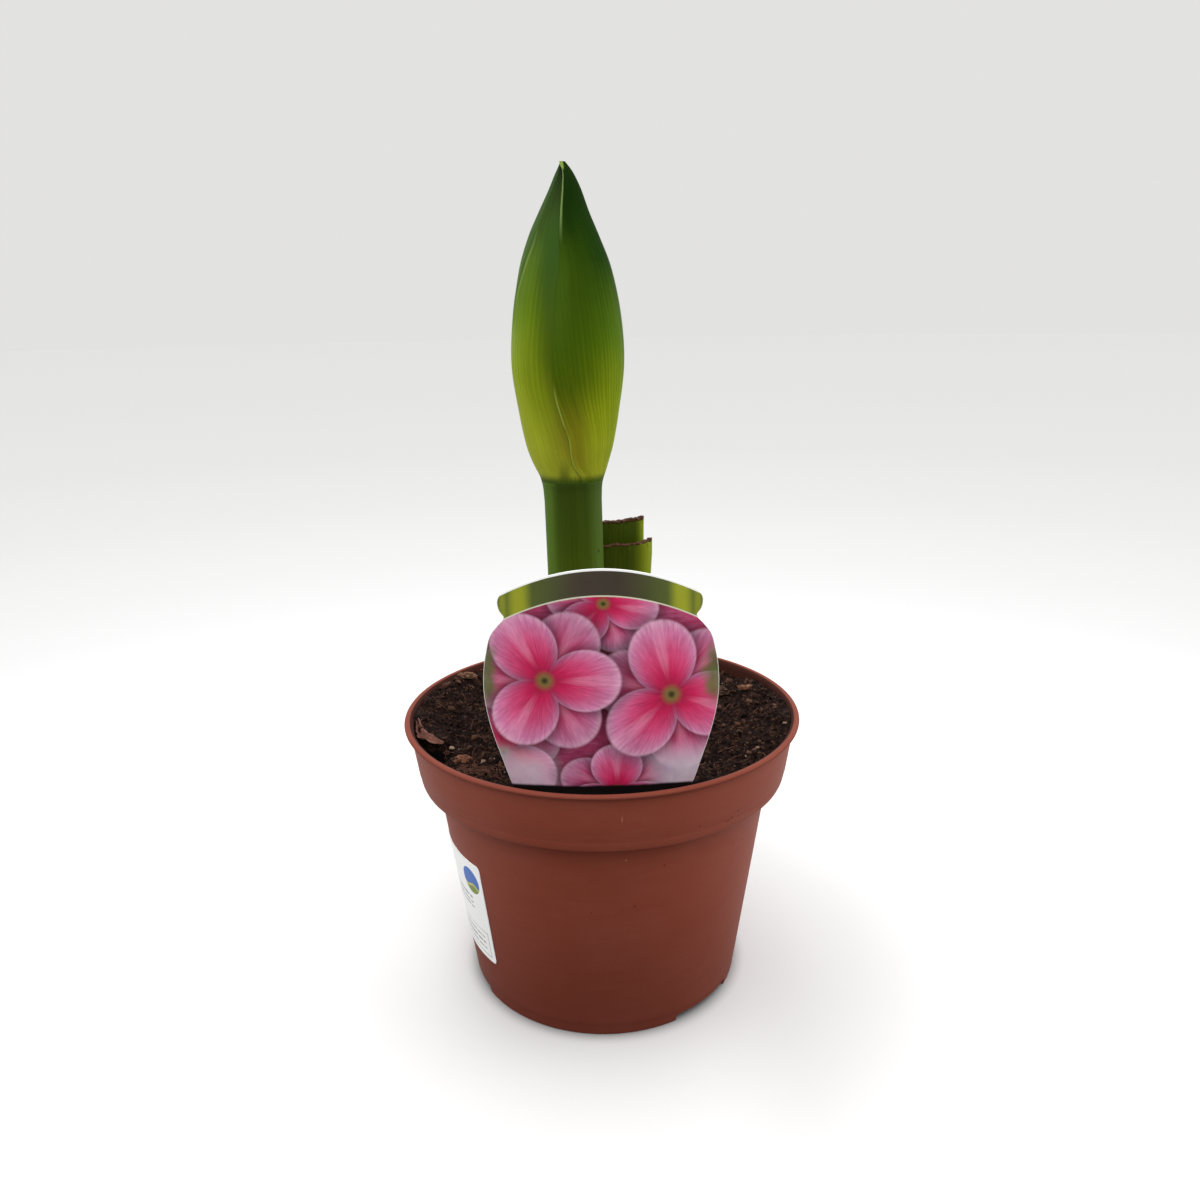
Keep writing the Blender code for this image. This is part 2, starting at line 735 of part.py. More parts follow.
def make_left_bract(parts):
    """The left bract: its margins are tucked inside the right one."""
    tucked = BRACT_WALL + BRACT_TUCK_CLEARANCE

    def place(row, column):
        """Angle, height and inset of a column, measured from the right bract's margins."""
        z = row_height(row, BRACT_ROWS, LEFT_BRACT_TOP)
        front, back = seam_angles(z)
        half, depth = bract_section(z)[1:]
        reach = max((half + depth) / 2, 0.0012)
        start = math.tau + front
        end = back
        steps = (-BRACT_TUCK, -BRACT_TUCK / 2, 0.0008, 0.4 * BRACT_EASE, BRACT_EASE)
        limit = 0.45 * (start - end)
        marks = [min(max(step / reach, -0.7), limit * (0.5 + 0.1 * k)) for k, step in enumerate(steps)]
        ends = len(marks)
        middle = BRACT_COLUMNS + 1 - 2 * ends
        if column < ends:
            angle = end + marks[column]
            away = steps[column]
        elif column > BRACT_COLUMNS - ends:
            angle = start - marks[BRACT_COLUMNS - column]
            away = steps[BRACT_COLUMNS - column]
        else:
            share = (column - ends + 1) / (middle + 1)
            angle = end + marks[-1] + (start - end - 2 * marks[-1]) * share
            away = BRACT_EASE
        return angle, z, tucked * (1 - eased(away, 0.0008, BRACT_EASE))

    def outer(row, column):
        """A point of the green outer face."""
        angle, z, inset = place(row, column)
        return bract_point(angle, z, inset)

    def inner(row, column):
        """A point of the inner face."""
        angle, z, inset = place(row, column)
        return bract_point(angle, z, inset + BRACT_WALL)

    return shell("bract_left", BRACT_ROWS, BRACT_COLUMNS, outer, inner, parts)


def make_buds(parts, scratch):
    """Four young buds on short stems that rise from one disc on the stalk's top."""
    disc = bmesh.new()
    bmesh.ops.create_cone(
        disc,
        cap_ends=True,
        segments=20,
        radius1=BUD_BASE_RADIUS,
        radius2=BUD_BASE_RADIUS * 0.85,
        depth=BUD_BASE_HEIGHT,
    )
    base = new_object("flower_buds", mesh_of("flower_buds", disc), parts)
    foot_z = STALK_TOP.z + GAP
    base.location = (STALK_TOP.x, STALK_TOP.y, foot_z + BUD_BASE_HEIGHT / 2)
    buds = new_collection("buds", scratch)
    low = foot_z + BUD_BASE_HEIGHT / 2
    for number in range(BUD_COUNT):
        side = (1 if number % 2 else -1, 1 if number > 1 else -1)
        top = BUD_TOP_Z - 0.006 * number
        work = bmesh.new()
        bmesh.ops.create_uvsphere(work, u_segments=8, v_segments=10, radius=1.0)
        for vertex in work.verts:
            share = math.acos(max(min(-vertex.co.z, 1.0), -1.0)) / math.pi
            around = math.atan2(vertex.co.y, vertex.co.x)
            z = low + (top - low) * share
            girth = interpolate(
                ((0.0, 0.0), (0.08, BUD_STEM_RADIUS), (0.28, BUD_STEM_RADIUS), (0.6, BUD_RADIUS), (1.0, 0.0)), share
            )[0]
            spread = interpolate(((0.0, 0.55), (0.5, 1.0), (0.7, 0.98), (1.0, 0.72)), share)[0]
            pole = abs(vertex.co.z) > 0.9999
            centre_x = bract_section(z)[0]
            vertex.co = (
                centre_x + side[0] * BUD_SPREAD[0] * spread + (0.0 if pole else girth * math.cos(around)),
                BRACT_AXIS_Y + side[1] * BUD_SPREAD[1] * spread + (0.0 if pole else girth * math.sin(around)),
                z,
            )
        new_object(f"bud_{number + 1}", mesh_of("bud", work), buds)
    return fused(base, buds)


def label_point(clearance):
    """The bowed, arched label as a formula of its two shares, grown by a clearance."""
    foot, top = LABEL_OUTLINE[0][0], LABEL_OUTLINE[-1][0]
    heights = [station[0] for station in LABEL_OUTLINE]

    def point(across, up):
        """A point of the label; the rows lie at the outline's own stations."""
        place = up * (len(heights) - 1)
        index = min(int(place + 0.5), len(heights) - 1)
        z = heights[index]
        half = LABEL_OUTLINE[index][1] + clearance
        side = 2 * across - 1
        x = side * half
        arch = eased(z, LABEL_ARCH_FROM_Z, top) * LABEL_ARCH_HEIGHT * (1 - side * side)
        widest = max(station[1] for station in LABEL_OUTLINE)
        y = LABEL_EDGE_Y - LABEL_BOW * (1 - (x / widest) ** 2) + LABEL_LEAN * (z - SOIL_Z)
        drop = clearance if z == foot else 0.0
        return Vector((x, y, z + arch - drop))

    return point


def make_label(parts, cutters):
    """The picture label: a thin bowed card whose tapered foot is pushed into the soil."""
    rows = len(LABEL_OUTLINE) - 1
    sheet("label_slot", rows, LABEL_COLUMNS, label_point(GAP), cutters, LABEL_THICKNESS + 2 * GAP)
    return sheet("picture_label", rows, LABEL_COLUMNS, label_point(0.0), parts, LABEL_THICKNESS)


def make_sticker(parts):
    """The blank sticker, bent round the pot's body on the same facets as the pot."""
    facet = 360.0 / POT_STEPS
    middle_z = (STICKER_TOP_Z + STICKER_BOTTOM_Z) / 2
    start = STICKER_FROM_AZIMUTH
    end = start - math.degrees(STICKER_WIDTH / body_radius(middle_z))
    columns = [start]
    azimuth = math.floor(start / facet) * facet
    while azimuth > end:
        columns.append(azimuth)
        azimuth -= facet
    columns.append(end)

    def point(across, up):
        """A point in the middle of the sticker's thickness, on a facet's corner."""
        index = round(across * (len(columns) - 1))
        inset = STICKER_CORNER if index in (0, len(columns) - 1) and up in (0.0, 1.0) else 0.0
        z = STICKER_BOTTOM_Z + inset + (STICKER_TOP_Z - STICKER_BOTTOM_Z - 2 * inset) * up
        angle = math.radians(columns[index])
        near = facet / 2 - abs((columns[index] / facet) % 1.0 - 0.5) * facet
        chord = math.cos(math.radians(facet / 2)) / math.cos(math.radians(facet / 2 - near))
        reach = body_radius(z) * chord + STICKER_CLEARANCE + STICKER_THICKNESS / 2
        return Vector((reach * math.cos(angle), reach * math.sin(angle), z))

    return sheet("pot_sticker", 2, len(columns) - 1, point, parts, STICKER_THICKNESS)


def make_flake(parts):
    """The papery scale that has dropped from the bulb, curled up at its ends."""
    ground = soil_height(*FLAKE_CENTRE)

    def point(across, up):
        """A point in the middle of the flake's thickness."""
        along = 2 * across - 1
        side = 2 * up - 1
        breadth = FLAKE_BREADTH / 2 * (1 - 0.45 * along * along + 0.12 * math.sin(7 * along))
        x = along * FLAKE_LENGTH / 2
        y = side * breadth + 0.0008 * math.sin(3 * along)
        z = FLAKE_CURL * (along**2 * 0.8 + 0.45 * side * side)
        turn_x = x * math.cos(FLAKE_TURN) - y * math.sin(FLAKE_TURN)
        turn_y = x * math.sin(FLAKE_TURN) + y * math.cos(FLAKE_TURN)
        lift = GAP + FLAKE_THICKNESS / 2
        return Vector((FLAKE_CENTRE[0] + turn_x, FLAKE_CENTRE[1] + turn_y, ground + lift + z))

    return sheet("tunic_flake", 4, 8, point, parts, FLAKE_THICKNESS)


def make_chip(number, chip, parts):
    """A chip of bark or a clod: a knobbly lump with a flat spot below."""
    x, y, length, breadth, height, turn = chip
    work = bmesh.new()
    bmesh.ops.create_icosphere(work, subdivisions=2, radius=1.0)
    for vertex in work.verts:
        vertex.co *= 1 + 0.22 * noise.noise(vertex.co * 1.9 + Vector((number * 5.3, 0.0, 0.0)))
        flat = max(vertex.co.z, -0.55)
        vertex.co = Vector((vertex.co.x * length / 2, vertex.co.y * breadth / 2, flat * height / 2))
    name = f"soil_chip_{number}"
    obj = new_object(name, mesh_of(name, work), parts)
    obj.location = (x, y, soil_height(x, y) + GAP + 0.55 * height / 2)
    obj.rotation_euler = (0.0, 0.0, math.radians(turn))
    return obj


def main():
    """Build every piece, with its material, in the order that it rests on the one before."""
    clear_scene()
    parts = new_collection("Potted amaryllis")
    cutters = new_collection("Cutters")
    scratch = new_collection("Joined shapes", cutters)
    pot_cutters = new_collection("Pot cutters", cutters)
    soil_cutters = new_collection("Soil cutters", cutters)
    bulb_cutters = new_collection("Bulb cutters", cutters)

    terracotta = new_material("terracotta plastic", (0.27, 0.078, 0.052), 0.42)
    peat = new_material("peat soil", (0.045, 0.026, 0.019), 0.95)
    tunic = new_material("dry bulb tunic", (0.32, 0.17, 0.08), 0.7)
    stalk_green = new_material("stalk green", (0.10, 0.17, 0.02), 0.45)
    bract_green = new_material("bract green", (0.15, 0.24, 0.02), 0.42)
    bud_green = new_material("bud green", (0.42, 0.45, 0.16), 0.5)
    leaf_green = new_material("leaf green", (0.11, 0.16, 0.02), 0.45)
    card = new_material("printed card", (0.52, 0.17, 0.28), 0.35)
    paper = new_material("sticker paper", (0.78, 0.78, 0.76), 0.5)
    flake_skin = new_material("papery scale", (0.23, 0.11, 0.075), 0.7)
    bark = new_material("bark chip", (0.22, 0.12, 0.06), 0.85)

    make_pot(parts, pot_cutters).data.materials.append(terracotta)
    bulb_with_roots("bulb_hollow", GAP, soil_cutters, scratch)
    make_label(parts, soil_cutters).data.materials.append(card)
    make_soil(parts, soil_cutters).data.materials.append(peat)
    make_bulb(parts, bulb_cutters, scratch).data.materials.append(tunic)
    stalk = turned("flower_stalk", stalk_profile(0.0), STALK_STEPS, parts)
    place_stalk(stalk)
    stalk.data.materials.append(stalk_green)
    make_left_bract(parts).data.materials.append(bract_green)
    make_right_bract(parts).data.materials.append(bract_green)
    make_buds(parts, scratch).data.materials.append(bud_green)
    for name, plan, tops in (
        ("leaf_outer", OUTER_LEAF_PLAN, OUTER_LEAF_TOP),
        ("leaf_inner", INNER_LEAF_PLAN, INNER_LEAF_TOP),
    ):
        leaf_shell(name, plan, tops, parts).data.materials.append(leaf_green)
    make_sticker(parts).data.materials.append(paper)
    make_flake(parts).data.materials.append(flake_skin)
    for number, chip in enumerate(CHIPS, start=1):
        make_chip(number, chip, parts).data.materials.append(bark)


main()
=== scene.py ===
"""A potted amaryllis in bud: everything that is seen of it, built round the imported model."""

import logging
import math
import random
from collections.abc import Callable, Iterator, Sequence
from contextlib import contextmanager
from dataclasses import dataclass, field
from enum import Enum
from typing import TypeAlias

import bpy
from mathutils import Matrix, Vector, noise


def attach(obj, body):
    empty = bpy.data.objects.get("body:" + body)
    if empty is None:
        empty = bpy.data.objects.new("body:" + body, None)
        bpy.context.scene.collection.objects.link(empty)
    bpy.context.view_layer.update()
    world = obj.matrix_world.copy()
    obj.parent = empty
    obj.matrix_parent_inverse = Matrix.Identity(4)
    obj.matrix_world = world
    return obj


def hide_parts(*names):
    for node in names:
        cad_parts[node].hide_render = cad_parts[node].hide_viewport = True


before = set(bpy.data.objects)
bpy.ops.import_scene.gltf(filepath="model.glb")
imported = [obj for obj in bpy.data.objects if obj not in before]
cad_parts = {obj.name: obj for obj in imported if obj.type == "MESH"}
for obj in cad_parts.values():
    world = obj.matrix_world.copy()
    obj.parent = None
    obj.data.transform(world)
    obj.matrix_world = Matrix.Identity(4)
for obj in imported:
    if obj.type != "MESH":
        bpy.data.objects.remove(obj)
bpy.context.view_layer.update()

BODY = "root"
# The air between two pieces, and how near two points count as one
GAP = 0.0003
WELD = 0.000002
# The Y of the line that the stalk and the bud stand on
BUD_Y = -0.006
WHITE = (1.0, 1.0, 1.0)

log = logging.getLogger("potted_amaryllis")

Point = tuple[float, float]
Points = tuple[Point, ...]
Rows = tuple[tuple[float, ...], ...]
Colour = tuple[float, float, float]
Piece = bpy.types.Object
Finish = bpy.types.Material
Number: TypeAlias = "Value | float"
Tint: TypeAlias = "Value | Colour"
Layer = tuple[Number, Tint]


# Curves and numbers


def interpolate(stations: Sequence[Sequence[float]], x: float) -> tuple[float, ...]:
    """Reads a smooth curve through stations, held level past both ends.

    Args:
        stations: Rows of (x, value, ...), in rising order of x.
        x: Where the curve is read.

    Returns:
        One value for each column after the first.
    """
    if x <= stations[0][0]:
        return tuple(stations[0][1:])
    if x >= stations[-1][0]:
        return tuple(stations[-1][1:])
    last = len(stations) - 1
    i = max(k for k in range(last) if stations[k][0] <= x)
    span = stations[i + 1][0] - stations[i][0]
    t = (x - stations[i][0]) / span
    values = []
    for column in range(1, len(stations[0])):
        slopes = []
        for k in (i, i + 1):
            low, high = stations[max(k - 1, 0)], stations[min(k + 1, last)]
            slopes.append((high[column] - low[column]) / (high[0] - low[0]) * span)
        start, end = stations[i][column], stations[i + 1][column]
        values.append(
            (2 * t**3 - 3 * t**2 + 1) * start + (t**3 - 2 * t**2 + t) * slopes[0]
            + (3 * t**2 - 2 * t**3) * end + (t**3 - t**2) * slopes[1]
        )
    return tuple(values)


def eased(x: float, low: float, high: float) -> float:
    """Rises smoothly from 0 at low to 1 at high."""
    t = min(max((x - low) / (high - low), 0.0), 1.0)
    return t * t * (3 - 2 * t)


def ripple(x: float, y: float, z: float = 0.0) -> float:
    """Cloudy noise round 0, with features about 1 across."""
    return noise.noise(Vector((x, y, z)))


def polar(radius: float, angle: float, z: float = 0.0, depth: float = 1.0) -> Vector:
    """A place at a radius and angle round the upright axis, drawn in along Y by a depth."""
    return Vector((radius * math.cos(angle), radius * math.sin(angle) * depth, z))


def along(points: Sequence[Point], spacing: float) -> list[Point]:
    """Adds points to a broken line, so that no step is longer than the spacing."""
    dense = [points[0]]
    for start, end in zip(points, points[1:]):
        steps = max(1, math.ceil(math.dist(start, end) / spacing))
        for i in range(1, steps + 1):
            t = i / steps
            dense.append((start[0] + (end[0] - start[0]) * t, start[1] + (end[1] - start[1]) * t))
    return dense


# Modelling by hand, in code


def pick(piece: Piece | None) -> None:
    """Leaves one piece selected and active, or nothing at all."""
    if bpy.context.object and bpy.context.object.mode != "OBJECT":
        bpy.ops.object.mode_set(mode="OBJECT")
    bpy.ops.object.select_all(action="DESELECT")
    if piece:
        piece.select_set(True)
        bpy.context.view_layer.objects.active = piece


@contextmanager
def editing(piece: Piece, chosen: Callable[[Vector], bool] | None = None) -> Iterator[None]:
    """Opens edit mode on a piece, with the points that a test chooses selected.

    Args:
        piece: The piece to edit.
        chosen: A test of a point's place; all points are selected without one.
    """
    pick(piece)
    bpy.ops.object.mode_set(mode="EDIT")
    bpy.ops.mesh.select_mode(type="VERT")
    bpy.ops.mesh.select_all(action="DESELECT" if chosen else "SELECT")
    if chosen:
        bpy.ops.object.mode_set(mode="OBJECT")
        for vertex in piece.data.vertices:
            vertex.select = chosen(vertex.co)
        bpy.ops.object.mode_set(mode="EDIT")
    yield
    bpy.ops.object.mode_set(mode="OBJECT")


def named(piece: Piece, name: str) -> Piece:
    """Names a piece and its mesh."""
    piece.name = name
    piece.data.name = name
    return piece


def grid(name: str, columns: int, rows: int, place: Callable[[float, float], Sequence[float]]) -> Piece:
    """Adds a flat grid and lays it over a surface.

    Args:
        name: The piece's name.
        columns: Faces across.
        rows: Faces up.
        place: Gives a point's place from its two shares, across and up, each from 0 to 1.

    Returns:
        The piece. Its normals point outwards where the columns run anticlockwise seen from above.
    """
    pick(None)
    bpy.ops.mesh.primitive_grid_add(x_subdivisions=columns, y_subdivisions=rows, size=2.0)
    piece = named(bpy.context.object, name)
    for vertex in piece.data.vertices:
        vertex.co = place((vertex.co.x + 1) / 2, (vertex.co.y + 1) / 2)
    return piece


def weld(piece: Piece) -> None:
    """Merges points that lie on each other and turns the faces outwards."""
    with editing(piece):
        bpy.ops.mesh.remove_doubles(threshold=WELD)
        bpy.ops.mesh.normals_make_consistent(inside=False)


def wrapped(name: str, steps: int, path: Sequence[Sequence[float]], place: Callable[..., Vector]) -> Piece:
    """Wraps a surface round the upright axis, clockwise seen from above.

    Args:
        name: The piece's name.
        steps: Faces round the piece.
        path: The rows of its outline.
        place: Gives a point's place from its angle and its row.

    Returns:
        The closed, welded piece.
    """
    last = len(path) - 1
    piece = grid(name, steps, last, lambda across, up: place(-math.tau * across, *path[round(up * last)]))
    weld(piece)
    return piece


def spun(name: str, profile: Sequence[Point], steps: int) -> Piece:
    """Draws half an outline and spins it round the upright axis.

    Args:
        name: The piece's name.
        profile: The outline as (radius, height).
        steps: Faces round the piece.

    Returns:
        The closed, welded piece.
    """
    count = len(profile) - 1
    outline = grid(name, count, 1, lambda across, up: (across * count, up, 0.0))
    with editing(outline, lambda co: co.y > 0.5):
        bpy.ops.mesh.delete(type="VERT")
    for vertex in outline.data.vertices:
        radius, height = profile[round(vertex.co.x)]
        vertex.co = (radius, 0.0, height)
    with editing(outline):
        bpy.ops.mesh.spin(steps=steps, angle=math.tau, center=(0, 0, 0), axis=(0, 0, 1))
    weld(outline)
    return outline


def modified(piece: Piece, kind: str, **settings: object) -> Piece:
    """Adds a modifier to a piece and applies it."""
    pick(piece)
    modifier = piece.modifiers.new(kind.title(), kind)
    for key, value in settings.items():
        setattr(modifier, key, value)
    bpy.ops.object.modifier_apply(modifier=modifier.name)
    return piece


def settled(piece: Piece) -> Piece:
    """Puts a piece's place, turn and scale into its mesh."""
    pick(piece)
    bpy.ops.object.transform_apply(location=True, rotation=True, scale=True)
    return piece


def joined(name: str, pieces: Sequence[Piece]) -> Piece:
    """Makes one piece of several, under a name."""
    pick(pieces[0])
    for piece in pieces:
        piece.select_set(True)
    bpy.ops.object.join()
    return named(bpy.context.object, name)


def cut_out(piece: Piece, cutter: Piece) -> None:
    """Cuts one closed shape out of another, and removes the cutter."""
    modified(piece, "BOOLEAN", operation="DIFFERENCE", object=cutter, solver="EXACT")
    bpy.data.objects.remove(cutter)


def strand(name: str, places: Sequence[Vector], radius: float, taper: float, sides: int) -> Piece:
    """Draws a thin round strand as a mesh.

    Args:
        name: The strand's name.
        places: The points that it follows.
        radius: Its radius at the start.
        taper: The share of the radius that is lost towards its end.
        sides: The curve's bevel resolution.

    Returns:
        The strand as a mesh.
    """
    curve = bpy.data.curves.new(name, "CURVE")
    curve.dimensions = "3D"
    curve.bevel_depth = radius
    curve.bevel_resolution = sides
    curve.use_fill_caps = True
    line = curve.splines.new("POLY")
    line.points.add(len(places) - 1)
    for i, (point, place) in enumerate(zip(line.points, places)):
        point.co = (*place, 1.0)
        point.radius = 1.0 - taper * i / (len(places) - 1)
    obj = bpy.data.objects.new(name, curve)
    bpy.context.scene.collection.objects.link(obj)
    pick(obj)
    bpy.ops.object.convert(target="MESH")
    bpy.context.object.data.materials.clear()
    return bpy.context.object


def handed_over(piece: Piece, angle: float, finishes: Sequence[Finish], slot: str, *nodes: str) -> None:
    """Shades and paints a finished piece and fixes it to the plant, in place of its CAD nodes.

    Args:
        piece: The finished piece.
        angle: The angle in degrees above which an edge stays sharp.
        finishes: Its materials.
        slot: Not used.
        nodes: The CAD nodes that it stands for.
    """
    pick(piece)
    bpy.ops.object.shade_smooth_by_angle(angle=math.radians(angle))
    for finish in finishes:
        piece.data.materials.append(finish)
    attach(piece, BODY)
    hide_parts(*nodes)
    piece.data.calc_loop_triangles()
    log.info("%s: %d triangles", piece.name, len(piece.data.loop_triangles))


# Materials


class Value:
    """A socket of a material, with Python's operators in place of Math nodes."""

    def __init__(self, paint: "Paint", socket: bpy.types.NodeSocket) -> None:
        """Wraps a socket of a material."""
        self.paint = paint
        self.socket = socket

    def __add__(self, other: Number) -> "Value":
        """Adds a value."""
        return self.paint.maths("ADD", self, other)

    def __radd__(self, other: float) -> "Value":
        """Adds to a number."""
        return self.paint.maths("ADD", other, self)

    def __sub__(self, other: Number) -> "Value":
        """Takes a value away."""
        return self.paint.maths("SUBTRACT", self, other)

    def __rsub__(self, other: float) -> "Value":
        """Is taken away from a number."""
        return self.paint.maths("SUBTRACT", other, self)

    def __mul__(self, other: Number) -> "Value":
        """Multiplies by a value."""
        return self.paint.maths("MULTIPLY", self, other)

    def __rmul__(self, other: float) -> "Value":
        """Multiplies a number."""
        return self.paint.maths("MULTIPLY", other, self)

    def __truediv__(self, other: Number) -> "Value":
        """Divides by a value."""
        return self.paint.maths("DIVIDE", self, other)

    def __pow__(self, other: float) -> "Value":
        """Raises to a power."""
        return self.paint.maths("POWER", self, other)

    def __abs__(self) -> "Value":
        """Drops the sign."""
        return self.paint.maths("ABSOLUTE", self)

    def out(self, name: str) -> "Value":
        """Gives another output of the same node."""
        return Value(self.paint, self.socket.node.outputs[name])

    def smooth(self, low: float, high: float) -> "Value":
        """Rises smoothly from 0 at low to 1 at high."""
        return self.paint.node(
            "ShaderNodeMapRange", {"interpolation_type": "SMOOTHSTEP"},
            {"Value": self, "From Min": low, "From Max": high}
        )

    def fall(self, low: float, high: float) -> "Value":
        """Falls smoothly from 1 at low to 0 at high."""
        return 1.0 - self.smooth(low, high)


class Paint:
    """A material and the nodes that make it."""

    def __init__(self, name: str, owner: bpy.types.World | None = None) -> None:
        """Starts an empty material under a name, or works on the nodes of a world."""
        self.material = owner or bpy.data.materials.new(name)
        self.material.use_nodes = True
        self.tree = self.material.node_tree
        self.tree.nodes.clear()

    def node(
        self, kind: str, settings: dict[str, object] | None = None,
        inputs: dict[str | int, object] | None = None, output: str | int = 0
    ) -> Value:
        """Makes any node but a sum.

        Args:
            kind: The node's type.
            settings: Its own settings, set first; "stops" gives a ramp's (place, colour) pairs,
                and "points" a curve's (place, value) pairs.
            inputs: What its sockets get, by name or number.
            output: Which of its outputs is wanted.

        Returns:
            That output.
        """
        made = self.tree.nodes.new(kind)
        for key, setting in (settings or {}).items():
            if key == "stops":
                self._stops(made.color_ramp, setting)
            elif key == "points":
                self._points(made.mapping, setting)
            else:
                setattr(made, key, setting)
        for key, given in (inputs or {}).items():
            if isinstance(given, Value):
                self.tree.links.new(given.socket, made.inputs[key])
            else:
                made.inputs[key].default_value = given
        return Value(self, made.outputs[output])

    @staticmethod
    def _stops(ramp: bpy.types.ColorRamp, stops: Sequence[tuple[float, Colour]]) -> None:
        """Sets a ramp's stops."""
        while len(ramp.elements) < len(stops):
            ramp.elements.new(0.5)
        for element, (place, colour) in zip(ramp.elements, stops):
            element.position = place
            element.color = (*colour, 1.0)

    @staticmethod
    def _points(mapping: bpy.types.CurveMapping, points: Sequence[Point]) -> None:
        """Sets a curve's points."""
        curve = mapping.curves[0]
        while len(curve.points) < len(points):
            curve.points.new(0.5, 0.5)
        for point, place in zip(curve.points, points):
            point.location = place
        mapping.update()

    def maths(self, operation: str, *values: Number) -> Value:
        """Adds a Math node on values and numbers."""
        return self.node("ShaderNodeMath", {"operation": operation}, dict(enumerate(values)))

    def ramp(self, value: Value, stops: Sequence[tuple[float, Colour]]) -> Value:
        """Turns a value into a colour between stops."""
        return self.node("ShaderNodeValToRGB", {"stops": stops}, {0: value})

    def mix(self, share: Number, first: Tint, second: Tint) -> Value:
        """Mixes two colours."""
        inputs = {0: share, 6: self._colour(first), 7: self._colour(second)}
        return self.node("ShaderNodeMix", {"data_type": "RGBA"}, inputs, 2)

    def layered(self, colour: Tint, *layers: Layer) -> Tint:
        """Lays colours over a first one, each by its own share."""
        for share, tone in layers:
            colour = self.mix(share, colour, tone)
        return colour

    def shade(self, colour: Tint, amount: Number) -> Value:
        """Makes a colour darker or lighter by a factor."""
        return self.node("ShaderNodeVectorMath", {"operation": "SCALE"}, {0: colour, "Scale": amount})

    @staticmethod
    def _colour(colour: Tint) -> "Value | tuple[float, ...]":
        """Gives a plain colour its alpha."""
        return colour if isinstance(colour, Value) else (*colour, 1.0)

    def place(self) -> Value:
        """The place on the object, in metres."""
        return self.node("ShaderNodeTexCoord", output="Object")

    def seen(self) -> Value:
        """1 where the camera looks at it, and 0 where it only gives light."""
        return self.node("ShaderNodeLightPath", output="Is Camera Ray")

    def axes(self, vector: Value) -> tuple[Value, Value, Value]:
        """Splits a vector into its three parts."""
        parts = self.node("ShaderNodeSeparateXYZ", inputs={0: vector})
        return parts, parts.out("Y"), parts.out("Z")

    def shares(self) -> tuple[Value, Value]:
        """The two shares of the piece's own map, across and up."""
        across, up, _ = self.axes(self.node("ShaderNodeUVMap", {"uv_map": "UVMap"}))
        return across, up

    def vector(self, x: Number, y: Number, z: Number = 0.0) -> Value:
        """Joins three parts into a vector."""
        return self.node("ShaderNodeCombineXYZ", inputs={0: x, 1: y, 2: z})

    def grain(self, where: Value, size: float, detail: float = 3.0, roughness: float = 0.55) -> Value:
        """Cloudy noise from 0 to 1 with features of a size, in the units of where."""
        return self.node(
            "ShaderNodeTexNoise",
            inputs={"Vector": where, "Scale": 1 / size, "Detail": detail, "Roughness": roughness}
        )

    def cells(self, where: Value, size: float) -> Value:
        """Distance to the nearest of scattered centres, as a share of their spacing."""
        return self.node("ShaderNodeTexVoronoi", inputs={"Vector": where, "Scale": 1 / size})

    def spot(self, x: Value, y: Value, centre: Point, size: Point, core: float = 0.3) -> Value:
        """A soft oval spot: 1 in its core, 0 outside."""
        away = ((x - centre[0]) / size[0]) ** 2.0 + ((y - centre[1]) / size[1]) ** 2.0
        return away.fall(core, 1.6)

    def length(self, x: Value, y: Value) -> Value:
        """The length of a flat vector."""
        return self.maths("SQRT", x * x + y * y)

    def bump(self, height: Value, depth: float, below: Value | None = None) -> Value:
        """Turns a height from 0 to 1 into relief of a depth in metres."""
        inputs = {"Height": height, "Distance": depth, "Strength": 1.0}
        if below:
            inputs["Normal"] = below
        return self.node("ShaderNodeBump", inputs=inputs)

    def shader(
        self, colour: Tint, roughness: Number, normal: Value | None = None, shine: float = 0.5,
        glow: Value | None = None
    ) -> Value:
        """Joins the parts of the finish in one shader.

        Args:
            colour: The base colour.
            roughness: The roughness.
            normal: The relief, if any.
            shine: How strongly it mirrors.
            glow: The colour of its own light, if any.

        Returns:
            The shader.
        """
        inputs = {"Base Color": self._colour(colour), "Roughness": roughness, "Specular IOR Level": shine}
        if normal:
            inputs["Normal"] = normal
        if glow:
            inputs |= {"Emission Color": glow, "Emission Strength": 1.0}
        return self.node("ShaderNodeBsdfPrincipled", inputs=inputs)

    def closed(self, shader: Value, kind: str = "ShaderNodeOutputMaterial") -> bpy.types.ID:
        """Feeds a shader to the output, and gives the material or world."""
        output = self.tree.nodes.new(kind)
        self.tree.links.new(shader.socket, output.inputs["Surface"])
        return self.material

    def finished(
        self, colour: Tint, roughness: Number, normal: Value | None = None, shine: float = 0.5
    ) -> Finish:
        """Makes the whole finish of one shader, with the same parts as shader()."""
        return self.closed(self.shader(colour, roughness, normal, shine))


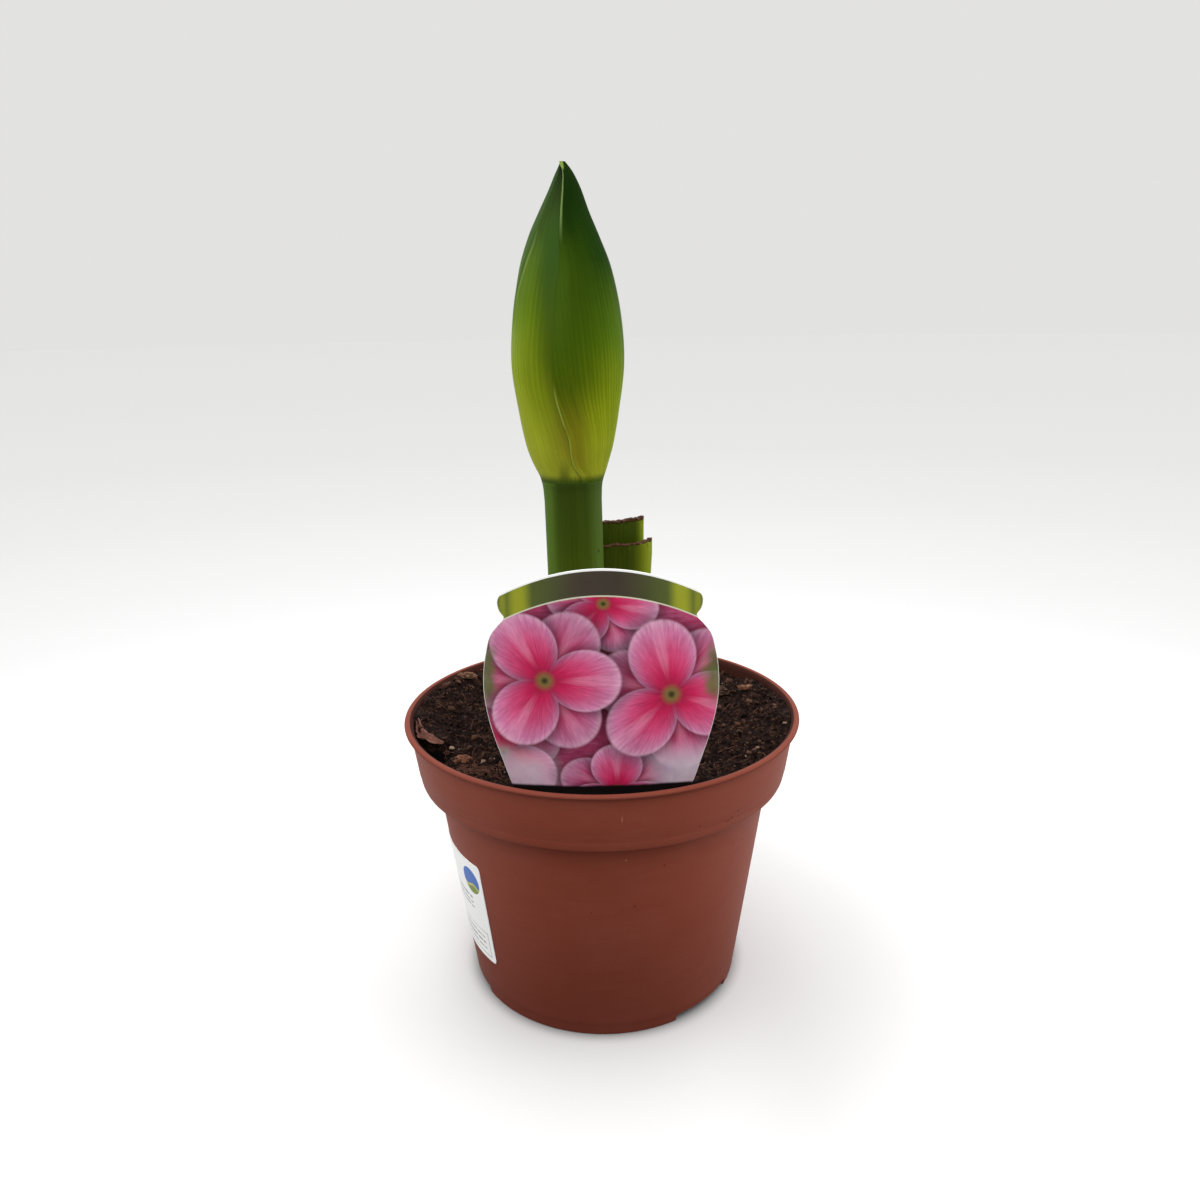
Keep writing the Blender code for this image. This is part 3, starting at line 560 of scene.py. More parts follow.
@dataclass(frozen=True)
class Terracotta:
    """Matt terracotta-coloured plastic, a little cloudy, with a few marks on the side that is seen, and
    painted shade on its inner wall, on its lip and towards its foot.
    """

    colour: Colour = (0.203, 0.046, 0.027)
    cloudy: Colour = (0.217, 0.053, 0.033)
    roughness: float = 0.42
    # The inner wall's colour above the soil: painted shade
    inside_shade_colour: Colour = (0.026, 0.0075, 0.005)
    crease_z: float = 0.089
    collar_slope: float = 0.14375
    # Marks as X, Z, half width and half height
    dark_marks: Rows = (
        (0.042, 0.089, 0.0006, 0.0005), (0.0434, 0.0896, 0.0004, 0.0006), (0.0457, 0.0914, 0.0006, 0.0004),
        (0.05, 0.0707, 0.0004, 0.0004), (0.0536, 0.07, 0.0005, 0.0004), (0.0319, 0.0907, 0.0004, 0.0004),
        (0.0204, 0.0738, 0.0004, 0.0005), (0.0104, 0.0584, 0.0004, 0.0005),
        (-0.0046, 0.0564, 0.0003, 0.0003)
    )
    pale_marks: Rows = ((0.006, 0.0982, 0.0002, 0.0012), (0.0074, 0.0781, 0.0004, 0.0004))

    def material(self) -> Finish:
        """Makes the finish."""
        paint = Paint("terracotta_plastic")
        where = paint.place()
        x, y, z = paint.axes(where)
        clouds = paint.grain(where, 0.03, 4.0)
        streaks = paint.grain(paint.vector(x, y, z * 6.0), 0.016)
        front = (0.0 - y).smooth(0.02, 0.03)
        layers = [((clouds * 0.6 + streaks * 0.4).smooth(0.35, 0.7), self.cloudy)]
        for marks, tone in ((self.dark_marks, (0.09, 0.012, 0.006)), (self.pale_marks, (0.42, 0.14, 0.09))):
            layers += [(paint.spot(x, z, mark[:2], mark[2:]) * front * 0.6, tone) for mark in marks]
        dust = paint.grain(where, 0.0016, 2.0).smooth(0.62, 0.82) * clouds.smooth(0.45, 0.7)
        colour = paint.layered(self.colour, *layers, (dust * 0.16, (0.42, 0.17, 0.12)))
        # Painted shade: the pot grows darker towards its foot and on its lip; below that, a faint darker line
        # runs round it near the foot
        lit = (z.smooth(-0.01, 0.07) * 0.26 + 0.74) * (1.0 - z.smooth(0.1058, 0.1066) * 0.28)
        foot_line = abs(z - 0.0046).fall(0.0002, 0.0012) * 0.1
        colour = paint.shade(paint.shade(colour, lit), 1.0 - foot_line)
        away = paint.length(x, y) - (z - self.crease_z) * self.collar_slope
        # Painted shade: the collar's inner wall is darkened; its roughness is raised there too
        shaded_inside = away.fall(0.0701, 0.0706) * z.smooth(0.0885, 0.0895)
        colour = paint.mix(shaded_inside * 0.94, colour, self.inside_shade_colour)
        rough = self.roughness + clouds.smooth(0.3, 0.7) * 0.08 + dust * 0.15
        rough = rough + (0.95 - rough) * paint.maths("MAXIMUM", shaded_inside, z.smooth(0.1052, 0.1062) * 0.55)
        relief = paint.bump(paint.grain(where, 0.0009, 2.0) * 0.5 + clouds * 0.5, 0.00008)
        return paint.finished(colour, rough, relief, shine=0.08)


@dataclass(frozen=True)
class Peat:
    """Dark crumbly peat, with paler crumbs and threads of old root in it."""

    dark: Colour = (0.0032, 0.0014, 0.0011)
    brown: Colour = (0.019, 0.0085, 0.006)
    pale: Colour = (0.088, 0.046, 0.029)
    # Near black, painted as shade in front of the card and in the low hollows
    black: Colour = (0.0025, 0.0015, 0.0012)

    def material(self) -> Finish:
        """Makes the finish of the soil's own surface."""
        paint = Paint("peat_soil")
        where = paint.place()
        lumps = paint.grain(where, 0.0034, 6.0, 0.65)
        # Crumb cells: the gaps between crumbs are painted dark, as shade
        crumbs = paint.cells(where, 0.0013)
        specks = paint.grain(where, 0.0008, 2.0).smooth(0.63, 0.74)
        x, y, z = paint.axes(where)
        # Painted shade: the soil in front of the card, and the soil lying low, is painted near black
        card_front_shade = (0.0 - y).smooth(0.049, 0.053) * abs(x).fall(0.036, 0.044)
        colour = paint.layered(
            paint.ramp(lumps, ((0.34, self.dark), (0.54, self.brown), (0.76, self.pale))),
            (specks * 0.75, (0.17, 0.098, 0.062)), (crumbs.smooth(0.35, 0.75) * 0.8, self.dark),
            (card_front_shade, self.black), (z.fall(0.098, 0.1), self.black)
        )
        relief = paint.bump(paint.grain(where, 0.0006, 4.0, 0.7), 0.0005, paint.bump(1.0 - crumbs, 0.0006))
        return paint.finished(colour, 0.95, relief, shine=0.06)

    def crumb_material(self) -> Finish:
        """Makes the finish of the loose crumbs, each in its own tone."""
        paint = Paint("peat_crumbs")
        where = paint.place()
        tone = paint.node("ShaderNodeAttribute", {"attribute_name": "tone"}, output="Fac")
        colour = paint.ramp(
            tone,
            (
                (0.0, self.dark), (0.45, self.brown), (0.75, (0.05, 0.023, 0.015)), (0.9, self.pale),
                (1.0, (0.25, 0.17, 0.12))
            )
        )
        mottle = paint.grain(where, 0.001, 3.0, 0.7)
        colour = paint.shade(colour, 0.35 + mottle * 1.3)
        return paint.finished(colour, 0.93, paint.bump(mottle, 0.0004), shine=0.07)

    def thread_material(self) -> Finish:
        """Makes the finish of the threads of old root."""
        paint = Paint("root_threads")
        mottle = paint.grain(paint.place(), 0.003)
        colour = paint.ramp(mottle, ((0.3, (0.03, 0.011, 0.007)), (0.7, (0.11, 0.046, 0.028))))
        return paint.finished(colour, 0.85, paint.bump(mottle, 0.0002), shine=0.1)


@dataclass(frozen=True)
class DryTunic:
    """The bulb's papery brown skin, with fine upright threads and paler torn ends."""

    deep: Colour = (0.085, 0.036, 0.017)
    brown: Colour = (0.25, 0.125, 0.06)
    straw: Colour = (0.5, 0.33, 0.18)

    def material(self) -> Finish:
        """Makes the finish; its pattern follows the piece's own map."""
        paint = Paint("bulb_tunic")
        across, up = paint.shares()
        threads = paint.grain(paint.vector(across, up * 0.06), 0.006, 4.0, 0.6)
        patches = paint.grain(paint.place(), 0.011, 4.0, 0.6)
        colour = paint.ramp(
            threads * 0.55 + patches * 0.45, ((0.32, self.deep), (0.5, self.brown), (0.68, self.straw))
        )
        relief = paint.bump(threads, 0.0004, paint.bump(patches, 0.0006))
        return paint.finished(colour, 0.62 + patches * 0.2, relief, shine=0.35)

    def flake_material(self) -> Finish:
        """Makes the finish of the dropped scale: dull red-brown with veins along it."""
        paint = Paint("papery_scale")
        across, up = paint.shares()
        veins = paint.grain(paint.vector(across * 0.1, up), 0.045, 4.0, 0.6)
        patches = paint.grain(paint.place(), 0.003, 4.0, 0.6)
        colour = paint.ramp(
            veins * 0.5 + patches * 0.5,
            ((0.34, (0.028, 0.008, 0.005)), (0.5, (0.12, 0.044, 0.031)), (0.68, (0.235, 0.108, 0.076)))
        )
        return paint.finished(colour, 0.7, paint.bump(veins, 0.0004), shine=0.15)


@dataclass(frozen=True)
class StalkGreen:
    """The flower stalk's skin: smooth green with a thin bloom and fine upright lines, with painted shade
    under the bud and painted sheen on its sides.
    """

    top: Colour = (0.027, 0.048, 0.0016)
    foot: Colour = (0.062, 0.11, 0.003)
    # Painted sheen on the stalk's sides
    edge: Colour = (0.064, 0.126, 0.007)

    def material(self, flare_z: float, neck_z: float, axis: Point) -> Finish:
        """Makes the finish.

        Args:
            flare_z: The height of the flare under the bud.
            neck_z: The height of the bulb's neck.
            axis: The stalk's X at the flare, and how far it moves for each metre down.
        """
        paint = Paint("stalk_green")
        across, up = paint.shares()
        where = paint.place()
        x, y, z = paint.axes(where)
        lines = paint.grain(paint.vector(across, up * 0.02), 0.012, 4.0, 0.6)
        clouds = paint.grain(where, 0.014)
        # Painted shade: the stalk is darker just under the bud
        flare = (z.smooth(flare_z - 0.009, flare_z) * 0.55, (0.02, 0.038, 0.004))
        colour = paint.layered(self.top, (z.fall(neck_z, flare_z), self.foot), flare)
        colour = paint.shade(colour, 0.62 + lines * 0.55 + clouds * 0.15)
        # Painted sheen: the sides are lighter, the left more than the right
        off = x - ((flare_z - z) * axis[1] + axis[0])
        edge = abs(off).smooth(0.0045, 0.0085) * (0.75 - off.smooth(-0.004, 0.004) * 0.5)
        spot = paint.spot(x, z, (-0.0002, 0.1722), (0.00035, 0.0006), 0.4) * (BUD_Y - y).smooth(0.0, 0.001)
        colour = paint.layered(colour, (edge, self.edge), (spot * 0.8, (0.012, 0.02, 0.004)))
        relief = paint.bump(lines, 0.00012, paint.bump(clouds, 0.0002))
        return paint.finished(colour, 0.46 + clouds * 0.12, relief, shine=0.07)


@dataclass(frozen=True)
class BractGreen:
    """A bract's waxy green: yellow-green at the foot, dark at the tip, with fine veins."""

    foot: Colour = (0.28, 0.31, 0.018)
    low: Colour = (0.218, 0.272, 0.006)
    middle: Colour = (0.104, 0.176, 0.001)
    upper: Colour = (0.044, 0.084, 0.006)
    tip: Colour = (0.006, 0.014, 0.003)
    margin: Colour = (0.165, 0.245, 0.075)
    tinge: Colour = (0.125, 0.095, 0.006)
    foot_z: float = 0.199
    tip_z: float = 0.302
    # The left bract's keel: share of the 40 mm above 0.255, and share across
    keel: Points = (
        (0.0, 0.595), (0.14, 0.605), (0.235, 0.623), (0.44, 0.655), (0.57, 0.673), (0.7, 0.677), (1.0, 0.68)
    )

    def material(self, name: str, margins: bool, slant: float) -> Finish:
        """Makes the finish of one bract.

        Args:
            name: The material's name.
            margins: Whether this bract's pale margins are seen.
            slant: How far the veins run sideways from foot to tip, as a share across.
        """
        paint = Paint(name)
        across, up = paint.shares()
        where = paint.place()
        x, y, z = paint.axes(where)
        clouds = paint.grain(where, 0.012)
        level = z + (clouds - 0.5) * 0.008 + (0.006 if margins else 0.0)
        heights = {"Value": level, "From Min": self.foot_z, "From Max": self.tip_z}
        share = paint.node("ShaderNodeMapRange", inputs=heights)
        colour = paint.ramp(
            share,
            ((0.02, self.foot), (0.3, self.low), (0.52, self.middle), (0.76, self.upper), (0.97, self.tip))
        )
        lane = across + (1.0 - up) * (1.0 - across) * slant
        wide = paint.grain(paint.vector(lane, up * 0.03), 0.05, 3.0, 0.6)
        fine = paint.grain(paint.vector(lane, up * 0.02), 0.009, 3.0, 0.65)
        veins = paint.maths("SINE", lane * 220.0 + wide * 9.0)
        veins = veins * fine.smooth(0.3, 0.6) * z.smooth(0.205, 0.23)
        colour = paint.shade(colour, 0.3 + wide * 0.52 + fine * 0.88 + veins * (0.18 if margins else 0.11))
        front = (BUD_Y - y).smooth(0.0, 0.008)
        tinge = front * abs(share - 0.2).fall(0.05, 0.24) * abs(x + 0.0095).fall(0.002, 0.01)
        streak = abs(x + 0.0114).fall(0.0006, 0.003) * z.fall(0.1995, 0.208) * front
        own = self._over_seam(across, z, front, wide) if margins else self._keel(paint, across, z, front)
        foot = (z + (fine - 0.5) * 0.0024).fall(0.1976, 0.2008)
        colour = paint.layered(
            colour, (tinge * 0.6, self.tinge), (streak * 0.6, (0.04, 0.062, 0.005)), *own,
            (foot, (0.042, 0.076, 0.005))
        )
        relief = paint.bump(wide, 0.00035, paint.bump(fine, 0.00014))
        rough = 0.44 + clouds * 0.14 + z.smooth(0.245, 0.285) * 0.32
        return paint.finished(colour, rough, relief, shine=0.03 if margins else 0.06)

    def _over_seam(self, across: Value, z: Value, front: Value, wide: Value) -> list[Layer]:
        """The right bract's margin and the darker lane beside it at half its height, with painted light on
        its right side, painted shade at its top beside the margin, and a pale curled margin at the tip that
        is partly painted highlight.
        """
        edge = (wide - 0.5) * 0.024 + z + abs(across - 0.16) * 0.03
        lane = across.fall(0.1, 0.34) * edge.smooth(0.216, 0.236) * z.fall(0.262, 0.29)
        streaks = (across + (wide - 0.5) * 0.12).fall(0.02, 0.12)
        streaks = streaks * z.smooth(0.232, 0.25) * z.fall(0.262, 0.284)
        # Painted light towards the bract's right side
        right = across.smooth(0.28, 0.38) * across.fall(0.42, 0.52) * z.fall(0.235, 0.27)
        low = across.fall(0.004, 0.013) * z.fall(0.225, 0.233)
        dim = abs(z - 0.2155).smooth(0.0005, 0.0035) * 0.7 + 0.3
        # Painted shade at the top beside the margin
        dark = across.smooth(0.02, 0.06) * across.fall(0.1, 0.2) * z.smooth(0.275, 0.285)
        # The curled margin at the tip: partly its own pale colour, partly painted highlight
        curled = (across - (z - 0.2988) * 45.0).fall(0.02, 0.08) * z.smooth(0.2984, 0.2998)
        return [
            (lane * 0.75, (0.03, 0.062, 0.001)), (streaks * 0.55, (0.054, 0.106, 0.006)),
            (right * front * 0.35, (0.08, 0.145, 0.001)), (low * dim, (0.21, 0.26, 0.035)),
            (dark * 0.5, self.tip), (across.fall(0.014, 0.03) * z.smooth(0.274, 0.288) * 0.85, self.margin),
            (curled * 0.8, (0.25, 0.34, 0.07))
        ]

    def _keel(self, paint: Paint, across: Value, z: Value, front: Value) -> list[Layer]:
        """The left bract's keel in painted light and shade: a pale painted highlight along the keel line,
        painted shade at its left, painted light at its right, and painted shadow along the seam under the
        right bract's margin.
        """
        line = paint.node("ShaderNodeFloatCurve", {"points": self.keel}, {"Value": (z - 0.255) / 0.04})
        away = across - line
        ahead = front.smooth(0.0, 0.2)
        shown = z.smooth(0.252, 0.264) * z.fall(0.27, 0.284) * ahead
        # Painted shade left of the keel, where the face turns away, and painted light right of it
        grey = away.fall(-0.012, 0.0) * z.smooth(0.245, 0.265)
        painted_light = away.smooth(0.0, 0.015) * away.fall(0.05, 0.16) * shown
        dull = across.smooth(0.6, 0.8) * z.smooth(0.208, 0.226) * z.fall(0.242, 0.264)
        # Painted shadow of the right bract's margin along the seam
        seam = (across + (z - 0.242) * 2.0).smooth(0.745, 0.865)
        seam = seam * z.smooth(0.216, 0.24) * z.fall(0.276, 0.29)
        shaded = paint.mix(z.smooth(0.238, 0.272), (0.042, 0.074, 0.001), (0.028, 0.07, 0.008))
        return [
            (grey * 0.55, (0.04, 0.085, 0.02)), (painted_light * 0.4, (0.085, 0.155, 0.012)),
            (z.smooth(0.262, 0.29) * front * 0.62, (0.029, 0.06, 0.014)),
            (dull * ahead * 0.45, (0.085, 0.125, 0.001)), (seam * ahead * 0.85, shaded),
            # Pale line along the keel: painted highlight
            (abs(away).fall(0.003, 0.012) * shown * 0.7, (0.155, 0.23, 0.05))
        ]


@dataclass(frozen=True)
class LeafGreen:
    """A cut leaf: smooth green with fine lines, painted light on its curled side, and a dried dark-brown cut.
    """

    green: Colour = (0.03, 0.048, 0.001)
    middle: Colour = (0.06, 0.085, 0.002)
    # Painted light on the curled side
    light: Colour = (0.155, 0.195, 0.006)
    dried: Colour = (0.03, 0.012, 0.006)

    def material(self, name: str, height: float, rims: Point, painted_light_from: float) -> Finish:
        """Makes the finish of one leaf.

        Args:
            name: The material's name.
            height: The leaf's height in metres.
            rims: Depth of the dried cut in millimetres, at its left and at its right.
            painted_light_from: The share across from which the leaf is painted lighter, as light on its
                curled side.
        """
        paint = Paint(name)
        across, up = paint.shares()
        where = paint.place()
        lines = paint.grain(paint.vector(across, up * 0.03), 0.028, 4.0, 0.6)
        clouds = paint.grain(where, 0.006)
        lined = across.fall(0.03, 0.14) * 0.5 + lines.smooth(0.45, 0.8) * 0.35
        # Painted light: the curled side is lighter
        painted_light = across.smooth(painted_light_from - 0.06, painted_light_from + 0.2)
        colour = paint.layered(self.green, (lined, self.middle), (painted_light, self.light))
        colour = paint.shade(colour, 0.72 + lines * 0.56)
        depth = (1.0 - up) * (height * 1000.0) + (paint.grain(where, 0.0016, 3.0, 0.7) - 0.5) * 0.9
        rim = across * (rims[1] - rims[0]) + rims[0]
        brown = (depth / rim).fall(0.75, 1.15)
        dry = paint.ramp(
            paint.grain(where, 0.0013, 3.0, 0.7),
            ((0.38, self.dried), (0.6, (0.075, 0.034, 0.018)), (0.72, (0.24, 0.15, 0.09)))
        )
        colour = paint.mix(brown, colour, dry)
        relief = paint.bump(lines, 0.00018, paint.bump(brown * clouds, 0.0004))
        return paint.finished(colour, 0.46 + brown * 0.4, relief, shine=0.07)


@dataclass(frozen=True)
class Bark:
    """A chip of bark or a clod."""

    dark: Colour
    light: Colour

    def material(self, name: str) -> Finish:
        """Makes the finish."""
        paint = Paint(name)
        where = paint.place()
        grain = paint.grain(where, 0.0018, 5.0, 0.65)
        colour = paint.ramp(grain, ((0.32, self.dark), (0.66, self.light)))
        return paint.finished(colour, 0.88, paint.bump(grain, 0.0006), shine=0.1)


@dataclass(frozen=True)
class YoungBud:
    """A young flower bud, pale green with a pinkish tip."""

    green: Colour = (0.33, 0.42, 0.12)
    blush: Colour = (0.62, 0.26, 0.25)

    def material(self) -> Finish:
        """Makes the finish."""
        paint = Paint("bud_green")
        x, y, z = paint.axes(paint.place())
        lines = paint.grain(paint.vector(x, y, z * 0.08), 0.0018)
        colour = paint.mix(z.smooth(0.235, 0.266) * 0.6 + lines * 0.2, self.green, self.blush)
        return paint.finished(colour, 0.5, paint.bump(lines, 0.0002))


# The pieces of the plant


@dataclass
class Pot:
    """The thin nursery pot: a stepped collar, a thin flared lip and a foot ring with three notches."""

    height: float = 0.108
    rim_radius: float = 0.075
    collar_top_z: float = 0.105
    collar_top_radius: float = 0.0729
    crease_radius: float = 0.0706
    crease_z: float = 0.089
    collar_foot_radius: float = 0.0698
    collar_foot_z: float = 0.0854
    body_top_radius: float = 0.0641
    foot_radius: float = 0.0523
    foot_ring_width: float = 0.0018
    wall: float = 0.00125
    underside_z: float = 0.0038
    floor_thickness: float = 0.0012
    notch_azimuths: tuple[float, ...] = (-44.5, -164.5, 75.5)
    notch_size: tuple[float, float, float] = (0.0065, 0.0288, 0.0062)
    notch_inset: float = 0.0015
    notch_bevel: float = 0.0009
    spacing: float = 0.008
    drain_radius: float = 0.004
    drain_sides: int = 28
    drain_circle: float = 0.036
    drains: int = 6
    steps: int = 168
    # The lip's section from the inside out, measured from its outermost and highest points
    lip: Points = (
        (-0.0033, -0.0021), (-0.0031, -0.0014), (-0.0028, -0.0008), (-0.0024, -0.00038),
        (-0.0019, -0.00014), (-0.0014, -0.00003), (-0.001, 0.0), (-0.0006, -0.00008), (-0.0003, -0.00024),
        (-0.0001, -0.00048), (0.0, -0.0008), (-0.00006, -0.0011), (-0.00026, -0.00136),
        (-0.00065, -0.00152), (-0.0015, -0.0017), (-0.00188, -0.00195)
    )

    def body_radius(self, z: float) -> float:
        """Outer radius of the body at a height below the collar."""
        return self.foot_radius + (self.body_top_radius - self.foot_radius) * z / self.collar_foot_z

    def collar_radius(self, z: float) -> float:
        """Outer radius of the collar at a height above its crease."""
        share = (z - self.crease_z) / (self.collar_top_z - self.crease_z)
        return self.crease_radius + (self.collar_top_radius - self.crease_radius) * share

    def inner_radius(self, z: float) -> float:
        """Inner radius of the collar at a height above its crease."""
        return self.collar_radius(z) - self.wall

    def inside(self) -> list[Point]:
        """The inner face as (radius, height), from the floor's centre up to the collar's top."""
        floor = self.underside_z + self.floor_thickness
        shelf = self.collar_foot_z + 0.0008
        return [
            (0.0, floor), (self.body_radius(floor) - self.wall - 0.0036, floor),
            (self.body_radius(floor) - self.wall - 0.001, floor + 0.001),
            (self.body_radius(floor + 0.0036) - self.wall, floor + 0.0036),
            (self.body_radius(shelf) - self.wall, shelf),
            (self.collar_foot_radius - self.wall - 0.0008, shelf + 0.0006),
            (self.crease_radius - self.wall, self.crease_z),
            (self.collar_top_radius - self.wall, self.collar_top_z)
        ]

    def profile(self) -> list[Point]:
        """Half the pot's outline, up the inside, over the lip and down the outside."""
        outline = along(self.inside(), self.spacing)
        outline += [(self.rim_radius + across, self.height + up) for across, up in self.lip]
        ring = self.foot_radius - self.foot_ring_width
        corners = (
            (self.collar_top_radius, self.collar_top_z, [(0.00008, 0.0006), (0.0, 0.0)]),
            (self.crease_radius, self.crease_z, [(0.00012, 0.0007), (-0.00008, 0.00015), (-0.0001, -0.0002)]),
            (
                self.collar_foot_radius, self.collar_foot_z,
                [(0.0001, 0.0006), (-0.0001, 0.0001), (-0.0006, -0.0003)]
            ),
            (
                self.body_top_radius, self.collar_foot_z,
                [(0.0006, -0.0005), (0.0001, -0.0008), (-0.0001, -0.0014)]
            ),
            (self.body_radius(0.0012), 0.0, [(0.0, 0.0012)]),
            (self.body_radius(0.0004), 0.0, [(-0.0001, 0.0004)]), (self.foot_radius, 0.0, [(-0.0005, 0.0)]),
            (ring, 0.0, [(-0.0005, 0.0)]), (ring, self.underside_z, [(-0.0007, -0.0005), (-0.0013, 0.0)]),
            (0.0, self.underside_z, [(0.0, 0.0)])
        )
        down = [(radius + across, z + up) for radius, z, offsets in corners for across, up in offsets]
        return outline + along(down, self.spacing)

    def build(self) -> None:
        """Turns the pot, cuts its notches and drain holes, and gives it its finish."""
        shell = spun("pot_shell", self.profile(), self.steps)
        cut_out(shell, self._notches())
        cut_out(shell, self._drain_holes())
        handed_over(shell, 32.0, [Terracotta().material()], "terracotta_plastic", "pot")

    def _notches(self) -> Piece:
        """Makes the blocks that cut the foot ring's notches."""
        blocks = []
        for azimuth in self.notch_azimuths:
            angle = math.radians(azimuth)
            place = polar(self.foot_radius - self.notch_inset, angle)
            pick(None)
            bpy.ops.mesh.primitive_cube_add(size=1.0, location=place, rotation=(0.0, 0.0, angle))
            block = bpy.context.object
            block.scale = self.notch_size
            settled(block)
            blocks.append(modified(block, "BEVEL", width=self.notch_bevel, segments=3, limit_method="NONE"))
        return joined("foot_notches", blocks)

    def _drain_holes(self) -> Piece:
        """Makes the pegs that cut the drain holes."""
        pegs = []
        for number in range(self.drains + 1):
            reach = self.drain_circle if number < self.drains else 0.0
            place = polar(reach, math.tau * (number + 0.5) / self.drains)
            pick(None)
            bpy.ops.mesh.primitive_cylinder_add(
                vertices=self.drain_sides, radius=self.drain_radius, depth=0.02, location=place
            )
            pegs.append(settled(bpy.context.object))
        return joined("drain_pegs", pegs)


@dataclass
class BulbForm:
    """The bulb's outline and the oval that its neck becomes, shared by bulb and soil."""

    outline: Points = (
        (0.024, 0.12), (0.0245, 0.117), (0.025, 0.1132), (0.0261, 0.1126), (0.0275, 0.108), (0.0318, 0.1),
        (0.0358, 0.091), (0.0379, 0.081), (0.0375, 0.073), (0.0348, 0.063), (0.0285, 0.054),
        (0.0195, 0.0478), (0.0146, 0.045), (0.014, 0.0424), (0.0105, 0.0414), (0.0, 0.0412)
    )
    neck_centre: Point = (-0.002, -0.001)
    neck_depth: float = 0.92
    round_below: float = 0.092
    neck_above: float = 0.112

    def laid(self, radius: float, angle: float, z: float) -> Vector:
        """A place at a radius and angle, in the neck's oval where it is high enough."""
        neck = eased(z, self.round_below, self.neck_above)
        x = radius * math.cos(angle) + self.neck_centre[0] * neck
        y = radius * math.sin(angle) * (1 + (self.neck_depth - 1) * neck) + self.neck_centre[1] * neck
        return Vector((x, y, z))


@dataclass
class LooseBit:
    """A chip or clod on the soil: its place, size and turn, and its two tones."""

    x: float
    y: float
    length: float
    breadth: float
    height: float
    turn: float
    dark: Colour
    light: Colour


